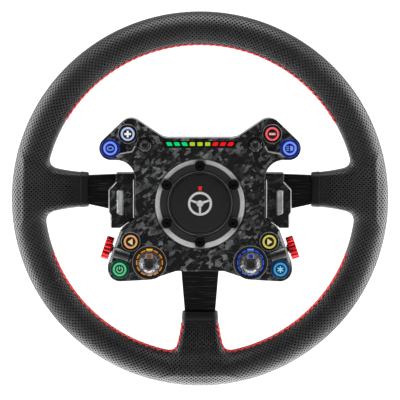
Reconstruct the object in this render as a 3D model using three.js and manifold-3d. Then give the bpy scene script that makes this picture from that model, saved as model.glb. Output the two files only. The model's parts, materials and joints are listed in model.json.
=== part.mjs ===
// Quick release steering wheel with a button box, as an assembly of separate pieces.
// Millimetres, +Z up. The wheel lies in the XZ plane, the driver sits on the -Y side, and the
// origin is the centre of the quick release's rear mating face.

import * as THREE from 'three';
import { mergeVertices } from 'three/addons/utils/BufferGeometryUtils.js';
import Module from 'manifold-3d';

const wasm = await Module();
wasm.setup();

// ---------------------------------------------------------------- driving dimensions

const GAP = 0.3; // clearance between pieces that touch

// Rim
const RIM_DIAMETER = 350;
const GRIP_RADIUS = 15.35;
const RIM_RADIUS = RIM_DIAMETER / 2 - GRIP_RADIUS;
const LEATHER_THICKNESS = 1.5;
const RIM_STEPS = 48;
const GRIP_SIDES = 8;
// Half-sizes of the sleeves at a spoke's end, and how much they grow towards the rim
const SLEEVE = { halfWidth: 15.6, spread: 5, flare: 10, halfDepth: 6, deepening: 7 };
const SLEEVE_SINK = 4; // how far inside the ring's centre line a sleeve stops

// Levels along Y, from the quick release's rear face towards the driver
const FRAME_BACK = -45;
const FRAME_FRONT = -50;
const RIM_Y = (FRAME_BACK + FRAME_FRONT) / 2;
const HOUSING_BACK = FRAME_FRONT - GAP;
const HOUSING_FRONT = -76;
const PLATE_BACK = HOUSING_FRONT - GAP;
const PLATE_FRONT = -80;
const PANEL_BACK = -52;
const PANEL_FRONT = -70;
const BOARD_BACK = -68.6;
const BOARD_FRONT = -70.2;
const WALL = 2.5;

// Hub
const BOLT_CIRCLE_RADIUS = 35;
const BOLT_COUNT = 6;
const BOLT_RADIUS = 2.5;
const BOLT_HEAD_RADIUS = 4.8;
const HUB_RADIUS = 44;
const HUB_BORE_RADIUS = 24;
const FRAME_BORE_RADIUS = 22;
const HOUSING_BORE_RADIUS = 30;
const RING_FLOOR_Y = -76.2;
const RING_BACK_Y = -73;
const RING_OUTER_RADIUS = 41.3;
const RING_FLOOR_RADIUS = 36.8;
const CAP_RADIUS = 29.4;

// Spokes of the rim frame
const SIDE_SPOKE_Z = 10;
const FRAME_RING_HALF_WIDTH = 7;

// Controls on the front plate: x is mirrored for the left side
const BUTTONS = [
  { name: 'upper_inner', x: 66, z: 64.4, pocket: true },
  { name: 'upper_outer', x: 82, z: 51.2, pocket: true },
  { name: 'lower_inner', x: 63.6, z: -34.7, pocket: false },
  { name: 'lower_outer', x: 73.8, z: -60.3, pocket: false },
];
const POCKET_DEPTH = 1.2;
const BEZEL_RADIUS = 8.9;
const BEZEL_BORE = 6.95;
const BEZEL_FRONT = -81.2;
const BEZEL_BACK = -74.4;
const BUTTON_HOLE = 7.7;
const BUTTON_CAP_RADIUS = 6.65;
const JOYSTICK = { x: 50.4, z: 54.3, pivotY: -77 };
const JOYSTICK_HOLE = 4.6;
const ROTARY = { x: 46.4, z: -54.1 };
const ROTARY_HOLE = 9;
const LIGHT_RING_RADIUS = 15.75;
const LIGHT_RING_FRONT = -81.8;
const THUMB = { x: 85.5, y: -62, z: -42.6 };
const THUMB_TILT = THREE.MathUtils.degToRad(18.4);
const THUMB_RADIUS = 10.75;
const THUMB_THICKNESS = 6.6;
const THUMB_FLUTES = 13;
const THUMB_SHAFT_RADIUS = 2.6;
const THUMB_SHAFT_LENGTH = 14;
const HUMP = { radius: 6.5, length: 15, inward: 14, height: 1.9 };

// Shift paddles behind the side spokes
const PADDLE_PIN = { x: 50, y: -36 };
const PADDLE_PIN_RADIUS = 1.5;
const PADDLE_BACK = -29.5;
const PADDLE_FRONT = -32.5;
const PADDLE_LOW = -9.6;
const PADDLE_HIGH = 15.6;

// Quick release
const FLANGE_RADIUS = 42;
const FLANGE_BACK = -38;
const FLANGE_FRONT = FRAME_BACK + GAP;
const BODY_RADIUS = 24.5;
const SOCKET_RADIUS = 17;
const SOCKET_FLOOR = -34;
const CONTACT_RADIUS = 11;
const BALL_COUNT = 4;
const BALL_RADIUS = 4.5;
const BALL_CENTRE_RADIUS = 20.3;
const BALL_Y = -12;
const COLLAR_TRAVEL = 8;
const COLLAR_FRONT = -24;
const COLLAR_BACK = -3;
const BALL_TRAVEL = 1.2;
const RETAINER = { front: -2.6, back: -1.5, depth: 1.3, radius: 27, halfGap: 0.15 };
const SPRING = { radius: 27, wire: 1, turns: 3.5, end: 0.5 };

// ---------------------------------------------------------------- materials

const finish = (color, roughness, metalness) =>
  new THREE.MeshStandardMaterial({ color, roughness, metalness });

const materials = {
  leather: () => finish(0x26272a, 0.6, 0),
  foam: () => finish(0x4a4a4a, 0.95, 0),
  spoke: () => finish(0x121214, 0.45, 0.8),
  carbon: () => finish(0x2e3032, 0.25, 0.2),
  housing: () => finish(0x1b1c1e, 0.4, 0.1),
  aluminium: () => finish(0x8d9094, 0.35, 1),
  blackMetal: () => finish(0x1a1b1d, 0.4, 0.9),
  satin: () => finish(0x17181a, 0.5, 0.1),
  lens: () => finish(0x050505, 0.1, 0),
  rubber: () => finish(0x151515, 0.7, 0),
  crystal: () => finish(0xb9bcc2, 0.15, 0.9),
  red: () => finish(0xd0202c, 0.3, 0.9),
  board: () => finish(0x14532d, 0.6, 0),
  steel: () => finish(0xc8cacc, 0.25, 1),
  light: (color) => finish(color, 0.3, 0),
};

// ---------------------------------------------------------------- geometry helpers

/** Weld a geometry to shared vertices and drop the triangles that collapse. */
function welded(geometry) {
  const bare = geometry.clone();
  bare.deleteAttribute('normal');
  bare.deleteAttribute('uv');
  const shared = mergeVertices(bare, 1e-4);
  const index = [];
  for (let i = 0; i < shared.index.count; i += 3) {
    const [a, b, c] = [0, 1, 2].map((k) => shared.index.getX(i + k));
    if (a !== b && b !== c && c !== a) index.push(a, b, c);
  }
  shared.setIndex(index);
  return shared;
}

/** A closed geometry as a manifold solid, ready to join or cut. */
function solid(geometry) {
  const { attributes, index } = welded(geometry);
  return new wasm.Manifold(
    new wasm.Mesh({
      numProp: 3,
      vertProperties: new Float32Array(attributes.position.array),
      triVerts: new Uint32Array(index.array),
    }),
  );
}

/** A manifold solid back as a geometry. */
function geometryOf(body) {
  const mesh = body.getMesh();
  const geometry = new THREE.BufferGeometry();
  geometry.setAttribute('position', new THREE.BufferAttribute(mesh.vertProperties, 3));
  geometry.setIndex(new THREE.BufferAttribute(mesh.triVerts, 1));
  geometry.computeVertexNormals();
  return geometry;
}

const join = (...bodies) => bodies.reduce((all, body) => all.add(body));
const cut = (body, ...tools) => tools.reduce((rest, tool) => rest.subtract(tool), body);

/** The same geometry on the other side of the YZ plane. */
function mirrored(geometry) {
  const copy = welded(geometry);
  copy.scale(-1, 1, 1);
  const { array } = copy.index;
  for (let i = 0; i < array.length; i += 3) {
    [array[i], array[i + 1]] = [array[i + 1], array[i]];
  }
  copy.computeVertexNormals();
  return copy;
}

/** A closed outline in the XZ plane from [x, z, corner radius] rows. */
function roundedShape(corners) {
  const shape = new THREE.Shape();
  const count = corners.length;
  corners.forEach(([x, z, radius = 0], i) => {
    const [px, pz] = corners[(i + count - 1) % count];
    const [nx, nz] = corners[(i + 1) % count];
    const corner = new THREE.Vector2(x, z);
    const before = new THREE.Vector2(px - x, pz - z).normalize();
    const after = new THREE.Vector2(nx - x, nz - z).normalize();
    const half = Math.acos(THREE.MathUtils.clamp(before.dot(after), -1, 1)) / 2;
    const reach = radius / Math.tan(half);
    const start = corner.clone().addScaledVector(before, reach);
    if (i === 0) shape.moveTo(start.x, start.y);
    else shape.lineTo(start.x, start.y);
    if (radius === 0) return;
    const middle = before.clone().add(after).normalize();
    const centre = corner.clone().addScaledVector(middle, radius / Math.sin(half));
    const end = corner.clone().addScaledVector(after, reach);
    const a0 = Math.atan2(start.y - centre.y, start.x - centre.x);
    const a1 = Math.atan2(end.y - centre.y, end.x - centre.x);
    shape.absarc(centre.x, centre.y, radius, a0, a1, before.cross(after) > 0);
  });
  shape.closePath();
  return shape;
}

/** Rows for an outline that is the same left and right, from its right half, top to bottom. */
const bothSides = (rightHalf) => [
  ...rightHalf,
  ...rightHalf.toReversed().map(([x, z, radius]) => [-x, z, radius]),
];

/** A flat piece of an XZ outline between two levels along Y. */
function plate(shape, back, front, { bevel = 0, inset = 0, arcs = 2 } = {}) {
  const geometry = new THREE.ExtrudeGeometry(shape, {
    depth: back - front - 2 * bevel,
    bevelEnabled: bevel > 0 || inset !== 0,
    bevelThickness: bevel,
    bevelSize: bevel,
    bevelOffset: -bevel - inset,
    bevelSegments: 1,
    curveSegments: arcs,
  });
  geometry.rotateX(Math.PI / 2);
  geometry.translate(0, back - bevel, 0);
  return geometry;
}

/** A box between two corners. */
function block([x0, y0, z0], [x1, y1, z1]) {
  const geometry = new THREE.BoxGeometry(x1 - x0, y1 - y0, z1 - z0);
  return geometry.translate((x0 + x1) / 2, (y0 + y1) / 2, (z0 + z1) / 2);
}

/** A round bar along Y, between two levels. */
function bar(radius, y0, y1, { x = 0, z = 0, sides = 12 } = {}) {
  const geometry = new THREE.CylinderGeometry(radius, radius, Math.abs(y1 - y0), sides);
  return geometry.translate(x, (y0 + y1) / 2, z);
}

/** A cutting tool for a round hole along Y, flat sides touching the stated radius. */
function drill(radius, y0, y1, { sides = 12, ...place } = {}) {
  return solid(bar(radius / Math.cos(Math.PI / sides), y0, y1, { sides, ...place }));
}

/** A turned piece about Y from [radius, y] rows, anticlockwise with y up. */
function turned(rows, steps = 16) {
  const points = rows.map(([radius, y]) => new THREE.Vector2(radius, y));
  if (rows[0][0] > 0) points.push(points[0].clone());
  return new THREE.LatheGeometry(points, steps);
}

const boltPositions = Array.from({ length: BOLT_COUNT }, (_, i) => {
  const angle = Math.PI / 2 + (i * 2 * Math.PI) / BOLT_COUNT;
  return [BOLT_CIRCLE_RADIUS * Math.cos(angle), BOLT_CIRCLE_RADIUS * Math.sin(angle)];
});

/** Cutting tools for holes at the six bolt positions. */
const boltHoles = (radius, y0, y1, sides = 6) =>
  join(...boltPositions.map(([x, z]) => drill(radius, y0, y1, { x, z, sides })));

// ---------------------------------------------------------------- the object

const wheel = new THREE.Group();

function add(name, geometry, material, parent = wheel) {
  const mesh = new THREE.Mesh(geometry, material);
  mesh.name = name;
  parent.add(mesh);
  return mesh;
}

/** A piece on the right and its mirror image on the left. */
function addPair(name, geometry, material) {
  add(`${name}_right`, geometry, material());
  add(`${name}_left`, mirrored(geometry), material());
}

// ---------------------------------------------------------------- rim

const spokes = [
  { radial: [1, 0, 0], across: [0, 0, 1], offset: SIDE_SPOKE_Z, end: 104, extra: 0 },
  { radial: [-1, 0, 0], across: [0, 0, -1], offset: SIDE_SPOKE_Z, end: 104, extra: 0 },
  { radial: [0, 0, -1], across: [1, 0, 0], offset: 0, end: 105, extra: 0.5 },
].map(({ radial, across, ...rest }) => ({
  radial: new THREE.Vector3(...radial),
  across: new THREE.Vector3(...across),
  ...rest,
}));

/** The grip's sleeve over one spoke, flaring from the spoke's section into the rim. */
function sleeve({ radial, across, offset, end, extra }, shrink, overrun) {
  const start = end - overrun;
  const length = RIM_RADIUS - SLEEVE_SINK - start;
  const geometry = new THREE.CylinderGeometry(1, 1, 1, 8, 5);
  const { position } = geometry.attributes;
  const point = new THREE.Vector3();
  const through = new THREE.Vector3(0, 1, 0);
  for (let i = 0; i < position.count; i += 1) {
    point.fromBufferAttribute(position, i);
    const along = (point.y + 0.5) * length;
    const flare = Math.max(0, along - overrun) / (RIM_RADIUS - end);
    const growth = SLEEVE.spread * flare + SLEEVE.flare * flare ** 3;
    const width = SLEEVE.halfWidth + extra + growth - shrink;
    const depth = SLEEVE.halfDepth + SLEEVE.deepening * flare - shrink;
    const square = Math.max(Math.abs(point.x), Math.abs(point.z)) || 1;
    const world = new THREE.Vector3(0, RIM_Y, offset);
    world.addScaledVector(radial, start + along);
    world.addScaledVector(across, (point.x / square) * width);
    world.addScaledVector(through, (point.z / square) * depth);
    position.setXYZ(i, world.x, world.y, world.z);
  }
  return solid(geometry);
}

/** The grip's outer form, shrunk evenly: the ring with its three sleeves. */
function grip(shrink, overrun) {
  const radius = GRIP_RADIUS - shrink;
  const torus = new THREE.TorusGeometry(RIM_RADIUS, radius, GRIP_SIDES, RIM_STEPS);
  torus.rotateX(Math.PI / 2);
  torus.translate(0, RIM_Y, 0);
  return join(solid(torus), ...spokes.map((spoke) => sleeve(spoke, shrink, overrun)));
}

/** The three-spoke frame, grown by an even clearance. */
function frameBody(grow = 0) {
  const back = FRAME_BACK + grow;
  const front = FRAME_FRONT - grow;
  const level = (shape) => solid(plate(shape, back, front, { inset: -grow, arcs: 12 }));
  const ring = new THREE.Shape();
  ring.absarc(0, 0, RIM_RADIUS + FRAME_RING_HALF_WIDTH, 0, 2 * Math.PI);
  const opening = new THREE.Path();
  opening.absarc(0, 0, RIM_RADIUS - FRAME_RING_HALF_WIDTH, 0, 2 * Math.PI);
  ring.holes.push(opening);
  const sideSpoke = [
    [30, 26, 0],
    [104, 23.4, 4],
    [112, 20, 4],
    [RIM_RADIUS, 19, 0],
    [RIM_RADIUS, 1, 0],
    [112, 0, 4],
    [104, -3.6, 4],
    [66, -12, 20],
    [30, -30, 0],
  ];
  const bottomSpoke = bothSides([
    [24, -30, 0],
    [17.8, -62, 20],
    [14.2, -105.5, 4],
    [11.5, -113, 4],
    [11, -RIM_RADIUS, 0],
  ]);
  const right = plate(roundedShape(sideSpoke), back, front, { inset: -grow });
  return join(
    level(ring),
    solid(bar(HUB_RADIUS, back, front, { sides: 28 })),
    solid(right),
    solid(mirrored(right)),
    level(roundedShape(bottomSpoke)),
  );
}

const frame = cut(
  frameBody(),
  drill(FRAME_BORE_RADIUS, FRAME_BACK + 5, FRAME_FRONT - 5),
  boltHoles(BOLT_RADIUS + GAP, FRAME_BACK + 5, FRAME_FRONT - 5),
);
add('rim_frame', geometryOf(frame), materials.spoke());

const foamShrink = LEATHER_THICKNESS + GAP;
const foam = cut(grip(foamShrink, -0.3), frameBody(GAP));
add('rim_core', geometryOf(foam), materials.foam());

const leather = cut(grip(0, 0), grip(LEATHER_THICKNESS, 3));
add('rim_leather', geometryOf(leather), materials.leather());

// ---------------------------------------------------------------- button box shells

const boxOutline = roundedShape(
  bothSides([
    [33, 60.6, 14],
    [64.7, 82, 12.5],
    [108, 40.3, 10.7],
    [59.6, 40.3, 17],
    [59.6, -14.5, 6],
    [73.1, -24, 5],
    [84.7, -55.5, 20],
    [85.2, -72.5, 11.5],
    [46, -70.4, 16],
    [22, -62.2, 12],
  ]),
);

/** Where the thumb wheel's axis runs, as a geometry built along Y is turned onto it. */
function onThumbAxis(geometry) {
  geometry.rotateZ(-Math.PI / 2);
  geometry.rotateY(-THUMB_TILT);
  return geometry.translate(THUMB.x, THUMB.y, THUMB.z);
}

const shaftHole = onThumbAxis(bar(THUMB_SHAFT_RADIUS + 0.6, -22, -1, { sides: 16 }));

const housing = cut(
  solid(plate(boxOutline, HOUSING_BACK, HOUSING_FRONT, { arcs: 3 })),
  solid(plate(boxOutline, HOUSING_BACK - WALL, HOUSING_FRONT - 5, { inset: WALL, arcs: 3 })),
  drill(HOUSING_BORE_RADIUS, HOUSING_BACK + 5, HOUSING_BACK - 10),
  boltHoles(BOLT_RADIUS + GAP, HOUSING_BACK + 5, HOUSING_BACK - 10),
  solid(shaftHole),
  solid(mirrored(shaftHole)),
);
add('rear_housing', geometryOf(housing), materials.housing());

const windowOutline = (grow) =>
  roundedShape(
    bothSides([
      [35.2 + grow, 58.6 + grow, 0.8],
      [31.2 + grow, 51.6 - grow, 2],
    ]),
  );

const controls = [-1, 1].flatMap((side) => [
  ...BUTTONS.map(({ x, z }) => ({ x: side * x, z, radius: BUTTON_HOLE })),
  { x: side * JOYSTICK.x, z: JOYSTICK.z, radius: JOYSTICK_HOLE },
  { x: side * ROTARY.x, z: ROTARY.z, radius: ROTARY_HOLE },
]);

const earPocket = plate(
  roundedShape([
    [60, 90, 0],
    [110, 90, 0],
    [110, 30, 0],
    [80, 36, 4],
    [73, 46, 4],
    [61.5, 48, 3],
    [56.5, 59, 4],
    [56.5, 74, 3],
  ]),
  PLATE_FRONT + POCKET_DEPTH,
  PLATE_FRONT - 5,
);

/** Half-round hump over the thumb wheel's encoder, between the two lower buttons. */
const hump = (() => {
  const round = new THREE.CylinderGeometry(HUMP.radius, HUMP.radius, HUMP.length, 16);
  round.rotateX(-Math.PI / 16);
  round.translate(0, -HUMP.inward, 0);
  onThumbAxis(round);
  return solid(round.translate(0, PLATE_FRONT - HUMP.height + HUMP.radius - THUMB.y, 0));
})();
const humpLimit = solid(block([-100, PLATE_FRONT - 4, -100], [100, PLATE_FRONT + 2, 100]));
const humps = join(hump, solid(mirrored(geometryOf(hump)))).intersect(humpLimit);

const frontPlate = cut(
  join(solid(plate(boxOutline, PLATE_BACK, PLATE_FRONT, { bevel: 0.8 })), humps),
  drill(RING_OUTER_RADIUS + GAP, -70, -90, { sides: 24 }),
  solid(plate(windowOutline(GAP), PLATE_BACK + 5, PLATE_FRONT - 5)),
  solid(earPocket),
  solid(mirrored(earPocket)),
  ...controls.map(({ x, z, radius }) => drill(radius, -70, -90, { x, z })),
);
add('front_plate', geometryOf(frontPlate), materials.carbon());

const windowPiece = plate(windowOutline(0), PLATE_BACK, PLATE_FRONT + 0.4);
add('shift_light_window', windowPiece, materials.lens());

const panelCorners = [
  [60.2, 27, 1.2],
  [77.4, 27, 1.6],
  [77.4, 19, 2],
  [84.4, 11.6, 2],
  [84.4, -8.4, 2],
  [82.6, -11.5, 2],
  [82.6, -23.5, 2],
  [73.6, -23.5, 1.6],
  [60.2, -14, 3],
];
const panelOutline = roundedShape(panelCorners);
const panelHollow = roundedShape(panelCorners.map(([x, z]) => [x, z, 0]));
const panelRib = roundedShape([
  [71, 10.6, 1],
  [76.2, 10.6, 1],
  [76.2, -9.2, 1],
  [71, -11.6, 1],
]);
const panel = cut(
  join(
    solid(plate(panelOutline, PANEL_BACK, PANEL_FRONT, { bevel: 0.8 })),
    solid(plate(panelRib, PANEL_FRONT + 1, PANEL_FRONT - 2, { bevel: 0.6 })),
  ),
  solid(plate(panelHollow, PANEL_BACK + 5, PANEL_FRONT + WALL, { inset: WALL })),
);
addPair('side_panel', geometryOf(panel), materials.carbon);

// ---------------------------------------------------------------- hub and circuit board

const hubSpacer = turned([
  [HUB_BORE_RADIUS, RING_BACK_Y + GAP],
  [HUB_RADIUS, RING_BACK_Y + GAP],
  [HUB_RADIUS, HOUSING_BACK - WALL - GAP],
  [HUB_BORE_RADIUS, HOUSING_BACK - WALL - GAP],
]);
add(
  'hub_spacer',
  geometryOf(cut(solid(hubSpacer), boltHoles(BOLT_RADIUS + GAP, -45, -80))),
  materials.aluminium(),
);

const ringProfile = turned(
  [
    [CAP_RADIUS + 0.5, RING_FLOOR_Y],
    [RING_FLOOR_RADIUS, RING_FLOOR_Y],
    [RING_OUTER_RADIUS - 0.3, PLATE_FRONT - 0.3],
    [RING_OUTER_RADIUS, PLATE_FRONT - 0.3],
    [RING_OUTER_RADIUS, HOUSING_FRONT],
    [HUB_RADIUS, HOUSING_FRONT],
    [HUB_RADIUS, RING_BACK_Y],
    [CAP_RADIUS + 0.5, RING_BACK_Y],
  ],
  24,
);
add(
  'center_ring',
  geometryOf(
    cut(
      solid(ringProfile),
      boltHoles(BOLT_RADIUS + GAP, -70, -90),
      boltHoles(BOLT_HEAD_RADIUS + 0.5, RING_FLOOR_Y, -90, 10),
    ),
  ),
  materials.aluminium(),
);

const centerCap = turned(
  [
    [0, -77.6],
    [26.6, -77.2],
    [27.2, -76.6],
    [27.8, -77],
    [CAP_RADIUS, -76.8],
    [CAP_RADIUS, RING_BACK_Y - GAP],
    [HUB_BORE_RADIUS - 1, RING_BACK_Y - GAP],
    [HUB_BORE_RADIUS - 1, -66],
    [HUB_BORE_RADIUS - 3, -66],
    [HUB_BORE_RADIUS - 3, -75],
    [0, -75],
  ],
  24,
);
add('center_cap', centerCap, materials.satin());

const socket = solid(new THREE.CylinderGeometry(2.3, 2.3, 6, 6));
boltPositions.forEach(([x, z], i) => {
  const head = turned(
    [
      [0, -81],
      [BOLT_HEAD_RADIUS - 0.5, -81],
      [BOLT_HEAD_RADIUS, -80.5],
      [BOLT_HEAD_RADIUS, RING_FLOOR_Y - GAP],
      [BOLT_RADIUS, RING_FLOOR_Y - GAP],
      [BOLT_RADIUS, FLANGE_BACK - 1],
      [0, FLANGE_BACK - 1],
    ],
    10,
  );
  const bolt = cut(solid(head), socket.translate([0, -81, 0]));
  add(`hub_bolt_${i + 1}`, geometryOf(bolt), materials.blackMetal()).position.set(x, 0, z);
});

/** Switch body under each control, on the driver's side of the board. */
const boardBlocks = [-1, 1].flatMap((side) => [
  ...BUTTONS.map(({ x, z }) => ({ x: side * x, z, half: 3, front: BOARD_FRONT - 0.2 })),
  { x: side * JOYSTICK.x, z: JOYSTICK.z, half: 5, front: BOARD_FRONT - 1.6 },
  { x: side * ROTARY.x, z: ROTARY.z, half: 6, front: BOARD_FRONT - 1.2 },
]);
const board = cut(
  join(
    solid(plate(boxOutline, BOARD_BACK, BOARD_FRONT, { inset: WALL + 1 })),
    ...boardBlocks.map(({ x, z, half, front }) =>
      solid(block([x - half, front, z - half], [x + half, BOARD_BACK - 0.5, z + half])),
    ),
    solid(block([-34, BOARD_FRONT - 4, 52.5], [34, BOARD_BACK - 0.5, 56.5])),
  ),
  drill(HUB_RADIUS + 1, -60, -80, { sides: 24 }),
);
add('main_circuit_board', geometryOf(board), materials.board());

// ---------------------------------------------------------------- push buttons

const bezel = turned(
  [
    [BEZEL_BORE, BEZEL_FRONT],
    [BEZEL_RADIUS, BEZEL_FRONT],
    [BEZEL_RADIUS, PLATE_FRONT - GAP],
    [BUTTON_HOLE - GAP, PLATE_FRONT - GAP],
    [BUTTON_HOLE - GAP, BEZEL_BACK],
    [BEZEL_BORE, BEZEL_BACK],
  ],
  12,
);
const buttonCap = turned(
  [
    [0, -82.4],
    [BUTTON_CAP_RADIUS - 0.6, -82.2],
    [BUTTON_CAP_RADIUS, -81.6],
    [BUTTON_CAP_RADIUS, -77.6],
    [2.5, -77.6],
    [2.5, -73.4],
    [0, -73.4],
  ],
  12,
);
const bezelColors = { upper_outer: 0x0a1f8f, lower_outer: 0x0c4a3a };

for (const [side, sign] of [['left', -1], ['right', 1]]) {
  for (const { name, x, z, pocket } of BUTTONS) {
    const group = new THREE.Group();
    group.position.set(sign * x, pocket ? POCKET_DEPTH : 0, z);
    const color = bezelColors[name] ?? 0x111214;
    add(`button_bezel_${name}_${side}`, bezel, materials.light(color), group);
    add(`button_cap_${name}_${side}`, buttonCap, materials.satin(), group);
    wheel.add(group);
  }
}

// ---------------------------------------------------------------- joysticks

const gimbalRing = turned(
  [
    [2.7, JOYSTICK.pivotY - 1],
    [JOYSTICK_HOLE - 0.5, JOYSTICK.pivotY - 1],
    [JOYSTICK_HOLE - 0.5, JOYSTICK.pivotY + 1],
    [2.7, JOYSTICK.pivotY + 1],
  ],
  12,
);
const stickCap = turned(
  [
    [0, -89.2],
    [2.4, -88.8],
    [3.9, -87.6],
    [4.5, -85.6],
    [4.7, -83],
    [5.95, -81.9],
    [5.95, -81.3],
    [1.9, -81.3],
    [1.9, JOYSTICK.pivotY + 2],
    [0, JOYSTICK.pivotY + 2],
  ],
  12,
);

for (const [side, sign] of [['left', -1], ['right', 1]]) {
  const group = new THREE.Group();
  group.position.set(sign * JOYSTICK.x, 0, JOYSTICK.z);
  add(`joystick_gimbal_${side}`, gimbalRing, materials.blackMetal(), group);
  add(`joystick_cap_${side}`, stickCap, materials.rubber(), group);
  wheel.add(group);
}

// ---------------------------------------------------------------- rotary knobs

const lightRing = turned(
  [
    [ROTARY_HOLE - 1.3, -81],
    [LIGHT_RING_RADIUS - 3.05, -81],
    [LIGHT_RING_RADIUS - 2.55, LIGHT_RING_FRONT],
    [LIGHT_RING_RADIUS, LIGHT_RING_FRONT],
    [LIGHT_RING_RADIUS, PLATE_FRONT - GAP],
    [ROTARY_HOLE - GAP, PLATE_FRONT - GAP],
    [ROTARY_HOLE - GAP, -77],
    [ROTARY_HOLE - 1.3, -77],
  ],
  16,
);
const knobBody = turned(
  [
    [0, -95.4],
    [4.6, -95.4],
    [5.2, -94.9],
    [8.3, -92.6],
    [10.2, -88.6],
    [11.2, -81.5],
    [3, -81.5],
    [3, -72.4],
    [0, -72.4],
  ],
  12,
);

for (const [side, sign] of [['left', -1], ['right', 1]]) {
  const group = new THREE.Group();
  group.position.set(sign * ROTARY.x, 0, ROTARY.z);
  add(`rotary_light_ring_${side}`, lightRing, materials.satin(), group);
  add(`rotary_knob_${side}`, knobBody, materials.crystal(), group);
  wheel.add(group);
}

// ---------------------------------------------------------------- thumb wheels

const flutes = Array.from({ length: THUMB_FLUTES }, (_, i) => {
  const angle = (i * 2 * Math.PI) / THUMB_FLUTES;
  const reach = THUMB_RADIUS + 0.7;
  const place = { x: reach * Math.cos(angle), z: reach * Math.sin(angle), sides: 6 };
  return solid(bar(1.6, -5, 5, place));
});
const half = THUMB_THICKNESS / 2;
const thumbDisc = turned(
  [
    [0, -half - THUMB_SHAFT_LENGTH],
    [THUMB_SHAFT_RADIUS, -half - THUMB_SHAFT_LENGTH],
    [THUMB_SHAFT_RADIUS, -half],
    [THUMB_RADIUS, -half],
    [THUMB_RADIUS, half],
    [5, half],
    [4.4, half - 0.8],
    [0, half - 0.8],
  ],
  26,
);
const thumbWheel = onThumbAxis(geometryOf(cut(solid(thumbDisc), ...flutes)));
addPair('thumb_wheel', thumbWheel, materials.red);

// ---------------------------------------------------------------- shift paddles

const pinBar = (radius, z0, z1) => {
  const geometry = new THREE.CylinderGeometry(radius, radius, z1 - z0, 12);
  geometry.rotateX(Math.PI / 2);
  return geometry.translate(PADDLE_PIN.x, PADDLE_PIN.y, (z0 + z1) / 2);
};
const bracket = cut(
  join(
    solid(block([43.5, FRAME_BACK + GAP, -14], [62, -41.7, 20])),
    solid(block([45, -42, 16], [55, -32, 20])),
    solid(block([45, -42, -14], [55, -32, -10])),
  ),
  solid(pinBar(PADDLE_PIN_RADIUS + GAP, -20, 26)),
);
addPair('paddle_bracket', geometryOf(bracket), materials.blackMetal);
addPair('paddle_pin', pinBar(PADDLE_PIN_RADIUS, -15, 21), materials.steel);

const blade = roundedShape([
  [46.5, PADDLE_HIGH, 1],
  [58, PADDLE_HIGH, 3],
  [66, 20, 5],
  [103, 17.5, 6],
  [103, 0, 6],
  [85, -5, 6],
  [82, -25, 8],
  [62, -22, 6],
  [56, PADDLE_LOW, 3],
  [46.5, PADDLE_LOW, 1],
]);
const paddle = cut(
  join(
    solid(plate(blade, PADDLE_BACK, PADDLE_FRONT, { bevel: 0.5 })),
    solid(block([46.5, -39.5, PADDLE_LOW], [53.5, PADDLE_FRONT + 1, PADDLE_HIGH])),
  ),
  solid(pinBar(PADDLE_PIN_RADIUS + GAP, -20, 26)),
);
addPair('paddle', geometryOf(paddle), materials.carbon);

// ---------------------------------------------------------------- quick release

const ballAngles = Array.from({ length: BALL_COUNT }, (_, i) => {
  return Math.PI / 4 + (i * 2 * Math.PI) / BALL_COUNT;
});

/** A radial hole whose mouth narrows at the bore, so that its ball can't fall in. */
function ballHole(angle) {
  const radius = (BALL_RADIUS + GAP) / Math.cos(Math.PI / 8);
  const wide = new THREE.CylinderGeometry(radius, radius, 10, 8);
  wide.rotateZ(-Math.PI / 2);
  wide.translate(24.5, 0, 0);
  const mouth = new THREE.CylinderGeometry(radius, 3.8, 3.1, 8);
  mouth.rotateZ(-Math.PI / 2);
  mouth.translate(18, 0, 0);
  return join(
    ...[wide, mouth].map((tool) => {
      tool.rotateY(-angle);
      return solid(tool.translate(0, BALL_Y, 0));
    }),
  );
}

/** Keyways across the rear mating face. */
const keyways = [0, 1, 2].map((i) => {
  const tool = block([SOCKET_RADIUS - 2, -3, -3], [21, 3, 3]);
  return solid(tool.rotateY(Math.PI / 2 + (i * 2 * Math.PI) / 3));
});

const quickBody = cut(
  solid(
    turned(
      [
        [CONTACT_RADIUS + GAP, FLANGE_FRONT],
        [FLANGE_RADIUS, FLANGE_FRONT],
        [FLANGE_RADIUS, FLANGE_BACK],
        [BODY_RADIUS, FLANGE_BACK],
        [BODY_RADIUS, RETAINER.front - GAP],
        [BODY_RADIUS - RETAINER.depth, RETAINER.front - GAP],
        [BODY_RADIUS - RETAINER.depth, RETAINER.back + GAP],
        [BODY_RADIUS, RETAINER.back + GAP],
        [BODY_RADIUS, 0],
        [SOCKET_RADIUS, 0],
        [SOCKET_RADIUS, SOCKET_FLOOR],
        [CONTACT_RADIUS + GAP, SOCKET_FLOOR],
      ],
      24,
    ),
  ),
  boltHoles(BOLT_RADIUS + GAP, -30, -50),
  ...ballAngles.map(ballHole),
  ...keyways,
);
add('qr_body', geometryOf(quickBody), materials.aluminium());

const contact = turned(
  [
    [0, -46],
    [CONTACT_RADIUS, -46],
    [CONTACT_RADIUS, SOCKET_FLOOR + 1],
    [CONTACT_RADIUS - 1, SOCKET_FLOOR + 2],
    [0, SOCKET_FLOOR + 2],
  ],
  24,
);
add('qr_contact_block', contact, materials.satin());

const cone = BALL_TRAVEL / COLLAR_TRAVEL;
const coneRadius = BALL_CENTRE_RADIUS + BALL_RADIUS + 0.4;
const slideRadius = BODY_RADIUS + 0.35;
const coneStart = BALL_Y - (coneRadius - slideRadius) / cone;
const collar = turned(
  [
    [slideRadius, COLLAR_FRONT],
    [29.2, COLLAR_FRONT],
    [29.2, -29.5],
    [34.6, -29.5],
    [36, -28.1],
    [36, -26],
    [32.4, -22.5],
    [31.4, -20],
    [31.4, COLLAR_BACK - 1],
    [30.4, COLLAR_BACK],
    [coneRadius + cone * (COLLAR_BACK - BALL_Y), COLLAR_BACK],
    [slideRadius, coneStart],
  ],
  24,
);
add('qr_collar', collar, materials.red());

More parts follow.
